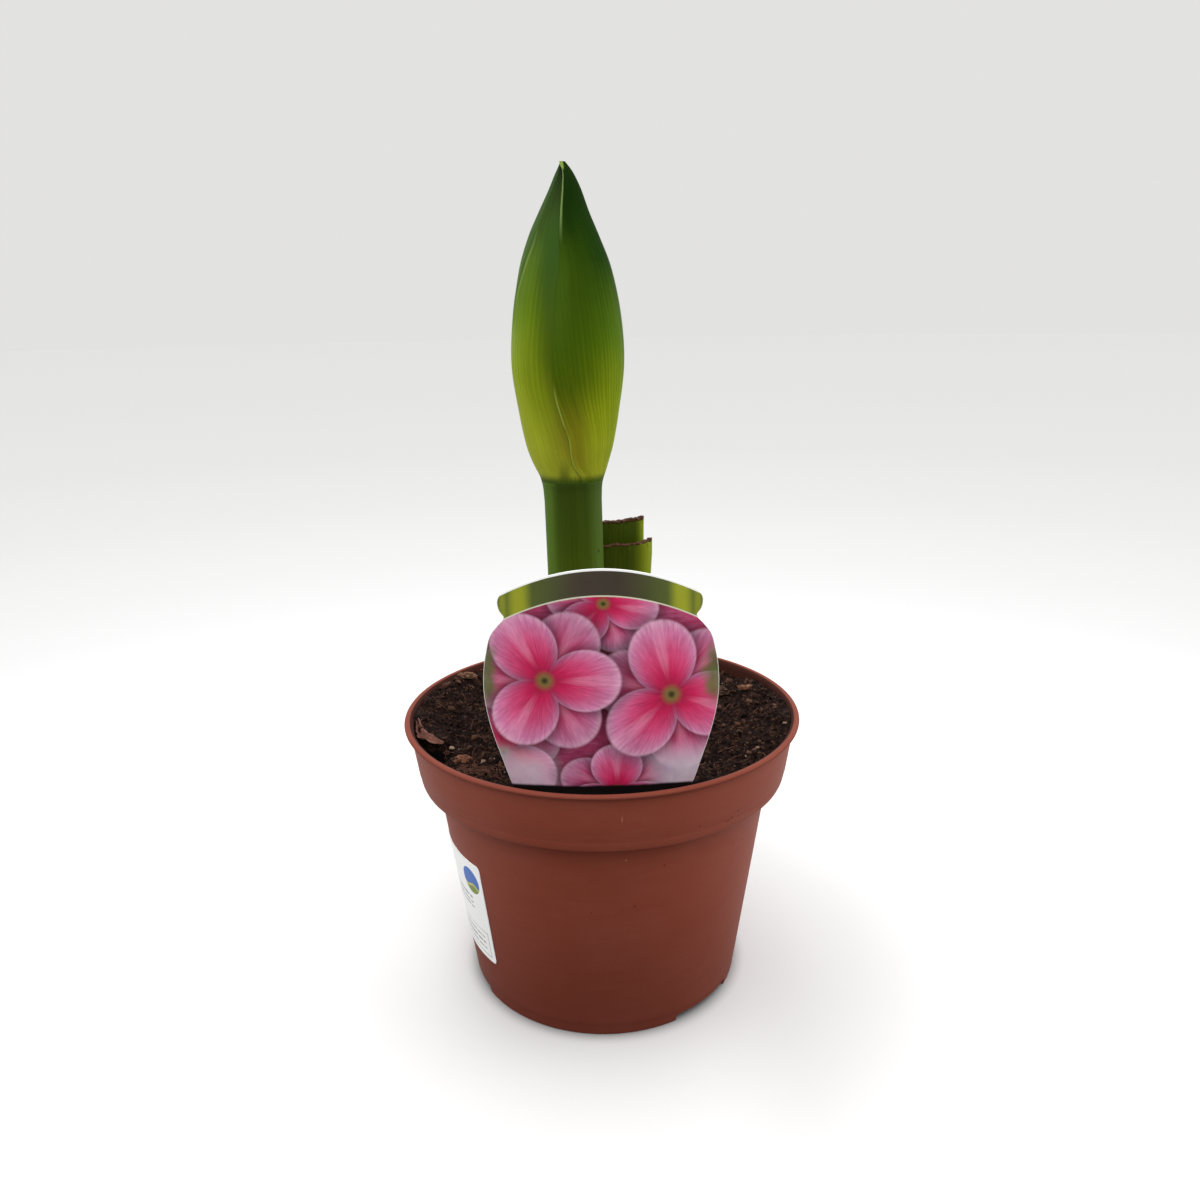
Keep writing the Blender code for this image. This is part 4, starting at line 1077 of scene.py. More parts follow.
@dataclass
class Soil:
    """Peat up to just under the rim: a crumbly top, loose crumbs and threads of old root."""

    pot: Pot
    bulb: BulbForm
    label: "PictureLabel"
    level: float = 0.101
    flake_seat: Point = (-0.0625, -0.0135)
    # Radius and rise of the level place under the flake, and under each chip
    flake_bed: Point = (0.0045, 0.0016)
    chip_bed: Point = (0.004, 0.0006)
    hollow: Point = (-0.064, -0.024)
    hollow_depth: float = 0.008
    hollow_radius: float = 0.0066
    # Azimuth in degrees and the soil's height where it meets the pot's wall
    banks: Points = (
        (-180.0, 0.107), (-173.0, 0.1056), (-166.0, 0.102), (-158.0, 0.0995), (-150.0, 0.101),
        (-138.0, 0.1024), (-124.0, 0.102), (-112.0, 0.0996), (-90.0, 0.099), (-66.0, 0.0998),
        (-54.0, 0.1022), (-40.0, 0.1027), (-24.0, 0.1044), (-12.0, 0.1063), (4.0, 0.1068), (15.0, 0.106),
        (27.0, 0.1053), (36.0, 0.1042), (50.0, 0.1034), (90.0, 0.1034), (120.0, 0.1052), (136.0, 0.1064),
        (152.0, 0.1071), (180.0, 0.107)
    )
    bank_width: float = 0.0085
    # Clods that are seen one by one, as X, Y, radius, length over breadth, turn in degrees and tone
    clods: Rows = (
        (-0.0537, 0.0498, 0.0016, 1.5, 20.0, 0.93), (-0.064, 0.025, 0.0015, 1.3, 70.0, 0.7),
        (-0.0559, -0.0179, 0.0009, 1.2, 0.0, 1.0), (-0.0429, -0.0285, 0.0009, 1.3, 30.0, 0.96),
        (-0.0609, -0.029, 0.0008, 1.2, 0.0, 1.0), (-0.06, 0.012, 0.0014, 1.2, 10.0, 0.72),
        (-0.048, -0.012, 0.0013, 1.2, 50.0, 0.8), (-0.056, -0.04, 0.0012, 1.4, -30.0, 0.88),
        (0.0544, 0.0397, 0.0015, 1.3, 15.0, 0.78), (0.0593, 0.0151, 0.0012, 1.3, -20.0, 0.86),
        (0.0508, -0.0318, 0.0007, 1.3, 20.0, 0.97), (0.0526, -0.0306, 0.0008, 1.3, -15.0, 0.88),
        (0.0545, -0.0296, 0.0008, 1.4, 50.0, 0.9), (0.056, -0.0282, 0.0006, 1.3, 10.0, 0.96),
        (0.068, -0.0155, 0.0006, 1.5, 0.0, 0.96), (0.063, 0.006, 0.0009, 1.2, 60.0, 0.8),
        (0.052, -0.006, 0.001, 1.2, 0.0, 0.82), (0.047, 0.012, 0.001, 1.3, 80.0, 0.88)
    )
    chips: tuple[LooseBit, ...] = (
        LooseBit(-0.0495, -0.0345, 0.0062, 0.004, 0.0026, 20.0, (0.035, 0.011, 0.006), (0.17, 0.072, 0.042)),
        LooseBit(-0.056, 0.037, 0.008, 0.0042, 0.0028, -15.0, (0.03, 0.012, 0.007), (0.2, 0.105, 0.06)),
        LooseBit(0.048, 0.0247, 0.0085, 0.0065, 0.005, 40.0, (0.016, 0.008, 0.006), (0.08, 0.045, 0.03)),
        LooseBit(0.059, 0.025, 0.0066, 0.0034, 0.0022, 5.0, (0.04, 0.015, 0.008), (0.23, 0.11, 0.06))
    )
    steps: int = 576
    rings: int = 86
    inner_radius: float = 0.03
    # How deep the bulb sits in its bed, and where that bed ends
    bed_depth: float = 0.0015
    bed_top_z: float = 0.095
    bed_inner_radius: float = 0.002
    # What keeps a crumb off the wall, the soil under the rim, and a crumb off the bulb and the label
    wall_clear: float = 0.0006
    rim_clear: float = 0.0007
    bulb_clear: float = 0.0315
    label_clear: float = 0.0016
    label_half: float = 0.033
    # The bare part in front: the Y that bounds it, and half its width
    bare: Point = (-0.049, 0.04)
    # How many models are finer, for the clods, and how many plain, for the scattered crumbs
    models: tuple[int, int] = (3, 4)
    # A crumb's least radius and what the largest adds; its length, breadth and height as shares of it
    crumb_radius: Point = (0.0003, 0.00075)
    crumb_spans: Points = ((1.0, 1.9), (0.6, 1.0), (0.5, 0.8))
    crumbs: int = 3400
    thread_radius: Point = (0.00007, 0.00018)
    thread_length: Point = (0.002, 0.009)
    # X and Y between which threads lie, and between which every third one does
    all_over: Points = ((-0.069, 0.069), (-0.069, 0.069))
    near_left: Points = ((-0.056, -0.034), (-0.048, -0.034))
    threads: int = 230
    seed: int = 7

    def bank(self, x: float, y: float) -> float:
        """How far the soil rises or falls toward the pot's wall, and in front of the label."""
        edge = self.pot.inner_radius(self.level) - GAP
        tall = interpolate(self.banks, math.degrees(math.atan2(y, x)))[0] - self.level
        near = math.exp(-((max(edge - math.hypot(x, y), 0.0) / self.bank_width) ** 2))
        return tall * near - 0.0012 * eased(-y, 0.05, 0.056) * (1 - near)

    def height(self, x: float, y: float) -> float:
        """Height of the soil without its finest crumbs, level under each loose piece."""
        spot = Vector((x, y, 0.0))
        rise = (
            0.0018 * noise.noise(spot / 0.021)
            + 0.0016 * noise.noise(spot / 0.0095 + Vector((3.1, 0.0, 0.0)))
            + 0.0009 * noise.noise(spot / 0.0052 + Vector((0.0, 7.7, 0.0)))
        )
        away = math.dist((x, y), self.hollow)
        rise -= self.hollow_depth * math.exp(-((away / self.hollow_radius) ** 2))
        for seat_x, seat_y, radius, seat_rise in self.seats():
            near = 1 - eased(math.dist((x, y), (seat_x, seat_y)), radius, radius + 0.003)
            rise += (seat_rise - rise) * near
        return self.level + rise + self.bank(x, y)

    def seats(self) -> list[tuple[float, float, float, float]]:
        """Level places as (X, Y, radius, rise), one under each loose piece."""
        return [(*self.flake_seat, *self.flake_bed), *((bit.x, bit.y, *self.chip_bed) for bit in self.chips)]

    def crumbly(self, x: float, y: float) -> float:
        """Height of the soil with its fine crumbs, left plain under the loose pieces."""
        spot = Vector((x, y, 0.0))
        rough = 0.0
        for size, tall in ((0.003, 0.0012), (0.0015, 0.0007)):
            away = noise.voronoi(spot / size, distance_metric="DISTANCE")[0][0]
            rough += tall * (0.45 - away)
        rough += 0.0007 * noise.noise(spot / 0.0012)
        for seat_x, seat_y, radius, _ in self.seats():
            rough *= eased(math.dist((x, y), (seat_x, seat_y)), radius * 0.35, radius * 1.1)
        return self.height(x, y) + rough

    def build(self) -> None:
        """Builds the soil, its crumbs and its threads."""
        self._ground()
        self._crumbs()
        self._threads()

    def _ground(self) -> None:
        """Wraps one surface round the soil: its foot, its side, its top and the bulb's bed."""
        edge = self.pot.inner_radius(self.level) - GAP
        inside = self.pot.inside()
        path: list[tuple[float, float, bool]] = [(0.0, inside[0][1] + GAP, False)]
        for radius, z in along(inside[1:-1], 0.02):
            lift = GAP if radius < self.pot.crease_radius - self.pot.wall else 0.0
            path.append((radius - GAP, z + lift, False))
        for ring in range(self.rings + 1):
            path.append((edge + (self.inner_radius - edge) * ring / self.rings, self.level, True))
        below = [(radius, z) for radius, z in self.bulb.outline if z < self.bed_top_z]
        bed = [(radius, z) for radius, z in below if radius > self.bed_inner_radius]
        path += [(radius - self.bed_depth, z, False) for radius, z in bed]
        path.append((0.0, self.bulb.outline[-1][1] + self.bed_depth, False))

        def place(angle: float, radius: float, z: float, top: bool) -> Vector:
            """A point of the surface."""
            if not top:
                return polar(radius, angle, z)
            x, y = radius * math.cos(angle), radius * math.sin(angle)
            z = min(self.crumbly(x, y), self.pot.height - self.rim_clear)
            wall = self.pot.inner_radius(min(z, self.pot.collar_top_z)) - GAP
            wall += 0.12 * max(z - self.pot.collar_top_z, 0.0)
            spread = 1 + (wall / edge - 1) * eased(radius, edge - 0.006, edge)
            return Vector((x * spread, y * spread, z))

        ground = wrapped("soil_ground", self.steps, path, place)
        handed_over(ground, 75.0, [Peat().material()], "peat_soil", "soil")

    def _free(self, x: float, y: float, radius: float) -> bool:
        """Tells whether a crumb can lie at a place, clear of everything else."""
        away = math.hypot(x, y)
        neck = math.hypot(x - self.bulb.neck_centre[0] * 0.5, y)
        return not (
            away + radius > self.pot.inner_radius(self.level) - self.wall_clear
            or (y < self.bare[0] and abs(x) < self.bare[1])
            or neck < self.bulb_clear + radius * 0.4
            or (abs(x) < self.label_half and abs(y - self.label.bowed(x)) < radius + self.label_clear)
            or any(math.dist((x, y), seat[:2]) < seat[2] * 0.75 + radius for seat in self.seats())
        )

    def _models(self, draw: random.Random) -> list[Piece]:
        """Shapes a few crumbs, for the scattered ones to be copied from."""
        models = []
        for number in range(sum(self.models)):
            pick(None)
            fineness = 2 if number < self.models[0] else 1
            bpy.ops.mesh.primitive_ico_sphere_add(subdivisions=fineness, radius=1.0)
            model = named(bpy.context.object, f"crumb_model_{number + 1}")
            shift = Vector((draw.uniform(0, 50), draw.uniform(0, 50), 0.0))
            for vertex in model.data.vertices:
                vertex.co *= 1 + 0.55 * noise.noise(vertex.co * 1.3 + shift) + draw.uniform(-0.12, 0.12)
            models.append(model)
        return models

    def _crumbs(self) -> None:
        """Sets down the clods, then scatters crumbs over the soil, many small and few large."""
        draw = random.Random(self.seed)
        models = self._models(draw)
        copies = []
        for x, y, radius, long, turned, shade in self.clods:
            turn = Matrix.Rotation(math.radians(turned), 4, "Z")
            size = Matrix.Diagonal((radius * long, radius, radius * 0.7, 1.0))
            copies.append(self._crumb(models[0], x, y, radius, turn @ size, shade))
        while len(copies) < self.crumbs:
            radius = self.crumb_radius[0] + self.crumb_radius[1] * draw.random() ** 4.0
            reach = self.pot.collar_top_radius * math.sqrt(draw.random())
            heading = draw.uniform(0.0, math.tau)
            x, y = reach * math.cos(heading), reach * math.sin(heading)
            if not self._free(x, y, radius):
                continue
            angle = draw.uniform(0, math.tau)
            turn = Matrix.Rotation(angle, 4, (draw.gauss(0, 1), draw.gauss(0, 1), draw.gauss(0, 1) + 0.01))
            size = Matrix.Diagonal((*(radius * draw.uniform(*span) for span in self.crumb_spans), 1.0))
            shade = min(draw.random() ** 1.35 * 0.92 + (0.3 if draw.random() < 0.02 else 0.0), 1.0)
            model = models[self.models[0] + draw.randrange(self.models[1])]
            copies.append(self._crumb(model, x, y, radius, turn @ size, shade))
        for model in models:
            bpy.data.objects.remove(model)
        handed_over(joined("soil_crumbs", copies), 55.0, [Peat().crumb_material()], "peat_soil", "soil")

    def _crumb(self, model: Piece, x: float, y: float, radius: float, form: Matrix, shade: float) -> Piece:
        """Sets down one crumb of a tone, turned and sized by a matrix."""
        rest = self.crumbly(x, y) + radius * 0.3
        copy = bpy.data.objects.new(model.name, model.data.copy())
        bpy.context.scene.collection.objects.link(copy)
        copy.data.transform(Matrix.Translation((x, y, rest)) @ form)
        tone = copy.data.attributes.new("tone", "FLOAT", "POINT")
        tone.data.foreach_set("value", [shade] * len(copy.data.vertices))
        return copy

    def _threads(self) -> None:
        """Lays short threads of old root on the soil, a third of them near the pot's left side."""
        draw = random.Random(self.seed + 1)
        threads = []
        while len(threads) < self.threads:
            area = self.all_over if len(threads) % 3 else self.near_left
            x, y = draw.uniform(*area[0]), draw.uniform(*area[1])
            heading = draw.uniform(0.0, math.tau)
            length = draw.uniform(*self.thread_length)
            places = []
            for i in range(6):
                lift = 0.0004 + 0.0009 * math.sin(math.pi * i / 5) * draw.random()
                places.append(Vector((x, y, self.height(x, y) + lift)))
                heading += draw.uniform(-0.5, 0.5)
                x += math.cos(heading) * length / 5
                y += math.sin(heading) * length / 5
            if all(self._free(place.x, place.y, 0.0006) for place in places):
                threads.append(strand("root_thread", places, draw.uniform(*self.thread_radius), 0.5, 1))
        handed_over(joined("soil_threads", threads), 60.0, [Peat().thread_material()], "peat_soil", "soil")


@dataclass
class SoilChips:
    """The chips of bark and the clod that lie on the soil, each with a flat foot."""

    soil: Soil
    foot: float = 0.55

    def build(self) -> None:
        """Roughens each one from a ball and sets it on its seat."""
        for number, bit in enumerate(self.soil.chips, start=1):
            pick(None)
            bpy.ops.mesh.primitive_ico_sphere_add(subdivisions=5, radius=1.0)
            chip = named(bpy.context.object, f"bark_chip_{number}")
            shift = Vector((number * 5.3, 0.0, 0.0))
            for vertex in chip.data.vertices:
                rough = 0.92 + 0.34 * noise.noise(vertex.co * 1.9 + shift)
                rough += 0.26 * noise.noise(vertex.co * 4.2 + shift) + 0.14 * noise.noise(vertex.co * 10.0)
                vertex.co *= rough
                x, y, z = vertex.co
                vertex.co = (x * bit.length / 2, y * bit.breadth / 2, max(z, -self.foot) * bit.height / 2)
            seat = self.soil.height(bit.x, bit.y) + GAP
            chip.location = (bit.x, bit.y, seat + self.foot * bit.height / 2)
            chip.rotation_euler = (0.0, 0.0, math.radians(bit.turn))
            settled(chip)
            finish = Bark(bit.dark, bit.light).material(f"bark_chip_{number}")
            handed_over(chip, 60.0, [finish], "bark_chip", f"soil_chip_{number}")


@dataclass
class TunicFlake:
    """The papery scale that has dropped from the bulb: thin, veined and ragged, against the pot's wall."""

    # Share of its length, then X and Y of its far edge, X and Y of its near edge, and its height
    outline: Rows = (
        (0.0, -0.071, -0.0042, -0.0711, -0.005, 0.1064), (0.08, -0.0702, -0.005, -0.0707, -0.0072, 0.1061),
        (0.2, -0.069, -0.0078, -0.0701, -0.0102, 0.1057),
        (0.36, -0.0674, -0.0116, -0.0696, -0.0138, 0.1052),
        (0.5, -0.0656, -0.0138, -0.0684, -0.0176, 0.1049),
        (0.62, -0.0637, -0.0158, -0.0672, -0.0202, 0.1047),
        (0.74, -0.062, -0.0178, -0.065, -0.0197, 0.1044), (0.87, -0.0601, -0.0191, -0.0622, -0.022, 0.104),
        (1.0, -0.0581, -0.0213, -0.0585, -0.0219, 0.1036)
    )
    thickness: float = 0.0003
    crease: float = 0.0007
    columns: int = 72
    rows: int = 26

    def build(self) -> None:
        """Lays a ragged, creased sheet and gives it its thickness."""

        def place(across: float, up: float) -> Vector:
            """A point in the middle of the flake's thickness."""
            far_x, far_y, near_x, near_y, z = interpolate(self.outline, across)
            ragged = up + (0.5 - up) * (0.04 + 0.5 * ripple(across * 8.0, 3.0 if up > 0.5 else 9.0))
            x, y = near_x + (far_x - near_x) * ragged, near_y + (far_y - near_y) * ragged
            fold = math.sin(2.6 * math.pi * up + 3.0 * across) * math.sin(math.pi * across)
            z += self.crease * fold - self.crease * (1 - up)
            z += self.crease * ripple(across * 3.0, up * 4.0, 4.0)
            return Vector((x, y, z))

        flake = grid("papery_flake", self.columns, self.rows, place)
        modified(flake, "SOLIDIFY", thickness=self.thickness, offset=0.0)
        handed_over(flake, 50.0, [DryTunic().flake_material()], "papery_scale", "tunic_flake")


@dataclass
class Bulb:
    """The bulb: buried but for its shoulder and its neck of dry scales, one inside the other."""

    form: BulbForm
    steps: int = 180
    roots: int = 8
    root_radius: float = 0.0021
    root_taper: float = 0.35
    root_reach: float = 0.045
    root_start_radius: float = 0.008
    root_start_z: float = 0.0445
    root_end_z: float = 0.013
    # The skin's top inside the neck: its height, its radius, its rings, and how they rise and fall
    top_z: float = 0.1208
    top_radius: float = 0.0205
    top_rings: int = 11
    top_relief: Point = (0.0011, -0.0004)
    ragged_above: float = 0.1125
    scale_thickness: float = 0.00025
    scale_faces: tuple[int, int] = (90, 14)
    seed: int = 11
    # Dry scales as radius at the foot, radius at the tip, foot, tip, first and last azimuth
    scales: Rows = (
        (0.03, 0.0262, 0.103, 0.1158, 20.0, 170.0), (0.029, 0.0254, 0.1045, 0.1182, 150.0, 300.0),
        (0.0285, 0.025, 0.1055, 0.1196, -80.0, 60.0), (0.0252, 0.0243, 0.113, 0.1244, 40.0, 230.0),
        (0.0247, 0.0236, 0.115, 0.1262, 200.0, 400.0), (0.0231, 0.0222, 0.118, 0.1272, 100.0, 330.0),
        (0.0224, 0.0212, 0.119, 0.126, -50.0, 130.0)
    )

    def build(self) -> None:
        """Builds the skin, the roots and the neck's dry scales."""
        tunic = DryTunic().material()
        self._skin(tunic)
        self._roots(tunic)
        self._scales(tunic)

    def _skin(self, tunic: Finish) -> None:
        """Wraps the bulb's skin round its outline, with rings of scale ends inside the neck."""
        inner = [(0.0, self.top_z)]
        for ring in range(1, self.top_rings + 1):
            radius = self.top_radius * ring / self.top_rings
            inner.append((radius, self.top_z + self.top_relief[0 if ring % 2 else 1]))
        path = inner + [(0.0219, 0.1222), (0.0232, 0.1216)] + along(self.form.outline, 0.0016)

        def place(angle: float, radius: float, z: float) -> Vector:
            """A point of the skin, wrinkled upright and ragged at the top."""
            around = polar(1.0, angle)
            if radius > 0.004:
                wrinkle = ripple(around.x * 9.0, around.y * 9.0, z * 30.0)
                wrinkle += 0.6 * ripple(around.x * 23.0, around.y * 23.0, z * 60.0)
                radius += 0.00028 * wrinkle
                if z > self.ragged_above:
                    z += 0.0009 * ripple(around.x * 4.0, around.y * 4.0, 80.0 * radius)
            return self.form.laid(radius, angle, z)

        skin = wrapped("bulb_skin", self.steps, path, place)
        handed_over(skin, 60.0, [tunic], "bulb_tunic", "bulb")

    def _roots(self, tunic: Finish) -> None:
        """Draws the roots that spread through the soil below the bulb."""
        draw = random.Random(self.seed)
        strands = []
        for number in range(self.roots):
            heading = math.tau * (number + draw.uniform(0.2, 0.8)) / self.roots
            swing = draw.uniform(-0.5, 0.5)
            reach = self.root_reach * draw.uniform(0.82, 1.0)
            drop = draw.uniform(0.0, 0.008)
            places = []
            for i in range(16):
                share = i / 15
                radius = self.root_start_radius + (reach - self.root_start_radius) * share**0.8
                angle = heading + swing * share
                z = self.root_start_z + (self.root_end_z + drop - self.root_start_z) * share**1.3
                places.append(polar(radius, angle, z))
            strands.append(strand("bulb_root", places, self.root_radius, self.root_taper, 3))
        handed_over(joined("bulb_roots", strands), 50.0, [tunic], "bulb_tunic", "bulb")

    def _scales(self, tunic: Finish) -> None:
        """Wraps thin ragged scales round the neck, each a little inside the one before."""
        sheets = []
        for number, (foot_radius, tip_radius, foot, tip, first, last) in enumerate(self.scales):

            def place(across: float, up: float) -> Vector:
                """A point of this scale."""
                angle = math.radians(first + (last - first) * across)
                side = math.sin(math.pi * across)
                ragged = ripple(across * 7.0, number * 4.1)
                ragged += 0.5 * ripple(across * 23.0, number * 4.1, 3.0)
                top = tip - 0.0045 * (1 - side) + 0.0016 * ragged
                z = foot + (max(top, foot + 0.002) - foot) * up
                radius = foot_radius + (tip_radius - foot_radius) * eased(up, 0.0, 0.9)
                radius += 0.0004 * ripple(across * 16.0, up * 0.7, number * 2.7)
                radius += 0.0011 * eased(up, 0.65, 1.0) * max(ripple(across * 5.0, 7.0, number), 0.0)
                return self.form.laid(radius, angle, z)

            sheets.append(grid("dry_scale", *self.scale_faces, place))
        piece = joined("neck_scales", sheets)
        modified(piece, "SOLIDIFY", thickness=self.scale_thickness, offset=1.0)
        handed_over(piece, 50.0, [tunic], "bulb_tunic", "bulb")


@dataclass
class Stalk:
    """The flower stalk: thick, smooth and nearly upright, with a slight flare at its top."""

    top: tuple[float, float, float] = (-0.0092, BUD_Y, 0.199)
    lean: float = math.radians(-0.95)
    depth_ratio: float = 0.9
    steps: int = 96
    neck_z: float = 0.121
    profile: Points = (
        (0.0, 0.0), (0.01, 0.0), (0.0105, -0.0004), (0.0106, -0.0012), (0.0108, -0.00165),
        (0.01095, -0.002), (0.0106, -0.0032), (0.0104, -0.005), (0.0102, -0.009), (0.0102, -0.035),
        (0.0101, -0.1288), (0.0098, -0.129), (0.0, -0.129)
    )

    def build(self) -> None:
        """Wraps the stalk round its outline, with faint ribs, and leans it."""
        path = along(self.profile, 0.0022)
        leaning = Matrix.Translation(self.top) @ Matrix.Rotation(self.lean, 4, "Y")

        def place(angle: float, radius: float, z: float) -> Vector:
            """A point of the stalk's skin."""
            if radius > 0.009 and z < -0.003:
                around = polar(3.2, angle, z * 6.0)
                radius += 0.0001 * noise.noise(around) + 0.00006 * noise.noise(around * 3.0)
            return leaning @ polar(radius, angle, z, self.depth_ratio)

        stalk = wrapped("scape", self.steps, path, place)
        green = StalkGreen().material(self.top[2], self.neck_z, (self.top[0], math.sin(-self.lean)))
        handed_over(stalk, 50.0, [green], "stalk_green", "flower_stalk")


class Side(Enum):
    """Which of the two bracts a sheet is."""

    LEFT = "bract_left"
    RIGHT = "bract_right"


@dataclass
class Bracts:
    """The two bracts that close over the flower buds; the right one lies over the left."""

    # Height, left edge and right edge of the closed pair, as seen from the front
    edges: Rows = (
        (0.1972, -0.02016, 0.0018), (0.1982, -0.02045, 0.00208), (0.1993, -0.0209, 0.0025),
        (0.2041, -0.0232, 0.004), (0.2098, -0.0251, 0.0056), (0.2209, -0.0272, 0.0076),
        (0.2372, -0.0292, 0.0096), (0.2531, -0.028, 0.0087), (0.2686, -0.0254, 0.0055),
        (0.2787, -0.022, 0.0016), (0.2862, -0.0184, -0.0016), (0.2936, -0.0146, -0.0043),
        (0.2984, -0.0126, -0.0067), (0.3016, -0.0115, -0.009)
    )
    # Height and depth of the pair as a share of its width
    depth_ratio: Points = (
        (0.1972, 0.9), (0.1993, 0.9), (0.215, 0.78), (0.2372, 0.72), (0.2787, 0.74), (0.3016, 0.85)
    )
    # Height and where the overlapping margin lies, from -1 at the left edge to 1 at the right
    seam: Points = (
        (0.1993, 0.3), (0.2038, 0.08), (0.2126, 0.0), (0.2188, -0.12), (0.2302, -0.25), (0.2583, -0.19),
        (0.2701, -0.1), (0.2854, -0.11), (0.2942, -0.15), (0.2988, -0.16), (0.3016, -0.5)
    )
    # Height and how far the margin stands above the left bract
    step: Points = (
        (0.1972, 0.00012), (0.1993, 0.0003), (0.203, 0.00045), (0.212, 0.00045), (0.23, 0.0003),
        (0.242, 0.0002), (0.27, 0.00022), (0.285, 0.0005), (0.295, 0.0008), (0.3016, 0.0008)
    )
    # Height and the angle in degrees where the left bract's keel lies
    keel: Points = ((0.24, 184.0), (0.26, 196.0), (0.282, 222.0), (0.3, 236.0))
    wall: float = 0.0009
    girth: float = 0.045
    tuck: float = 0.008
    ease: float = 0.006
    tops: dict[Side, float] = field(default_factory=lambda: {Side.LEFT: 0.3013, Side.RIGHT: 0.3016})
    columns: int = 110
    rows: int = 120

    def section(self, z: float) -> tuple[float, float, float]:
        """Centre, half width and half depth of the closed pair at a height."""
        left, right = interpolate(self.edges, z)
        half = (right - left) / 2
        return (left + right) / 2, half, half * interpolate(self.depth_ratio, z)[0]

    def seams(self, z: float) -> tuple[float, float]:
        """Angles of the right bract's margins, in front and behind."""
        share = interpolate(self.seam, z)[0]
        return -math.acos(share), math.acos(0.7 * share)

    def point(self, angle: float, z: float, inset: float) -> Vector:
        """A point of the pair's outer face, moved in by an inset."""
        centre, half, depth = self.section(z)
        outside = Vector((half * math.cos(angle), depth * math.sin(angle), 0.0))
        share = max(1 - inset / outside.length, 0.3 + 0.2 / (1 + abs(inset) / self.wall))
        return Vector((centre, BUD_Y, z)) + outside * share

    def height(self, up: float, side: Side) -> float:
        """Height of a row, with rows closer together near the tip."""
        foot = self.edges[0][0]
        return foot + (self.tops[side] - foot) * (1.35 * up - 0.35 * up * up)

    def build(self) -> None:
        """Lays both sheets over their forms and gives them their walls and finish."""
        right = grid("spathe_right", self.columns, self.rows, self._right)
        left = grid("spathe_left", self.columns, self.rows, self._left)
        # The right bract's copy of the finish is darker, most of all at its middle and top: painted shade
        over = BractGreen(
            foot=(0.25, 0.275, 0.014), low=(0.17, 0.215, 0.003), middle=(0.052, 0.102, 0.0003),
            upper=(0.0075, 0.028, 0.0003), tip=(0.0058, 0.0195, 0.0009)
        )
        pair = ((right, Side.RIGHT, over, -0.3), (left, Side.LEFT, BractGreen(), 0.0))
        for sheet, side, green, slant in pair:
            self._taper(sheet, side)
            modified(
                sheet, "SOLIDIFY", thickness=self.wall, offset=-1.0, vertex_group="wall",
                thickness_vertex_group=0.0
            )
            finish = green.material(side.value, side is Side.RIGHT, slant)
            handed_over(sheet, 60.0, [finish], "bract_green", side.value)

    def _right(self, across: float, up: float) -> Vector:
        """A point of the right bract, whose front margin lifts a little near the tip."""
        z = self.height(up, Side.RIGHT)
        front, back = self.seams(z)
        angle = front + (back - front) * across
        half, depth = self.section(z)[1:]
        away = (angle - front) * (half + depth) / 2
        curl = 0.0004 * eased(z, 0.282, 0.292) + 0.00025 * (1 - eased(z, 0.222, 0.232))
        dip = 0.00015 * math.exp(-(((away - 0.0022) / 0.0012) ** 2))
        lift = curl * math.exp(-((away / 0.001) ** 2)) - dip
        return self.point(angle, z, -lift)

    def _left(self, across: float, up: float) -> Vector:
        """A point of the left bract: its margins run in under the right one's."""
        z = self.height(up, Side.LEFT)
        front, back = self.seams(z)
        half, depth = self.section(z)[1:]
        reach = max((half + depth) / 2, 0.0012)
        tuck = min(self.tuck / reach, 0.7)
        angle = back - tuck + (math.tau + front - back + 2 * tuck) * across
        away = min(angle - back, math.tau + front - angle) * reach
        step = interpolate(self.step, z)[0]
        inset = step * (1 - eased(away, 0.0, self.ease))
        inset += (self.wall + GAP - step) * (1 - eased(away, -0.004, 0.0))
        keel = math.radians(interpolate(self.keel, z)[0])
        ridge = 0.00045 * eased(z, 0.236, 0.262) * (1 - eased(z, 0.29, 0.3))
        inset -= ridge * math.exp(-(((angle - keel) * reach / 0.0016) ** 2))
        return self.point(angle, z, inset)

    def _taper(self, sheet: Piece, side: Side) -> None:
        """Weights a sheet's wall, so that the right bract's margins are thin."""
        group = sheet.vertex_groups.new(name="wall")
        columns = self.columns + 1
        foot = self.edges[0][0]
        for vertex in sheet.data.vertices:
            across = (vertex.index % columns) / self.columns
            margin = min(across, 1 - across) * self.girth
            thick = 0.3 + 0.7 * eased(margin, 0.0, 0.004) if side is Side.RIGHT else 0.8
            thick *= 0.35 + 0.65 * eased(self.tops[side] - vertex.co.z, 0.0, 0.006)
            thick *= 0.22 + 0.78 * eased(vertex.co.z, foot, foot + 0.004)
            group.add([vertex.index], thick, "REPLACE")


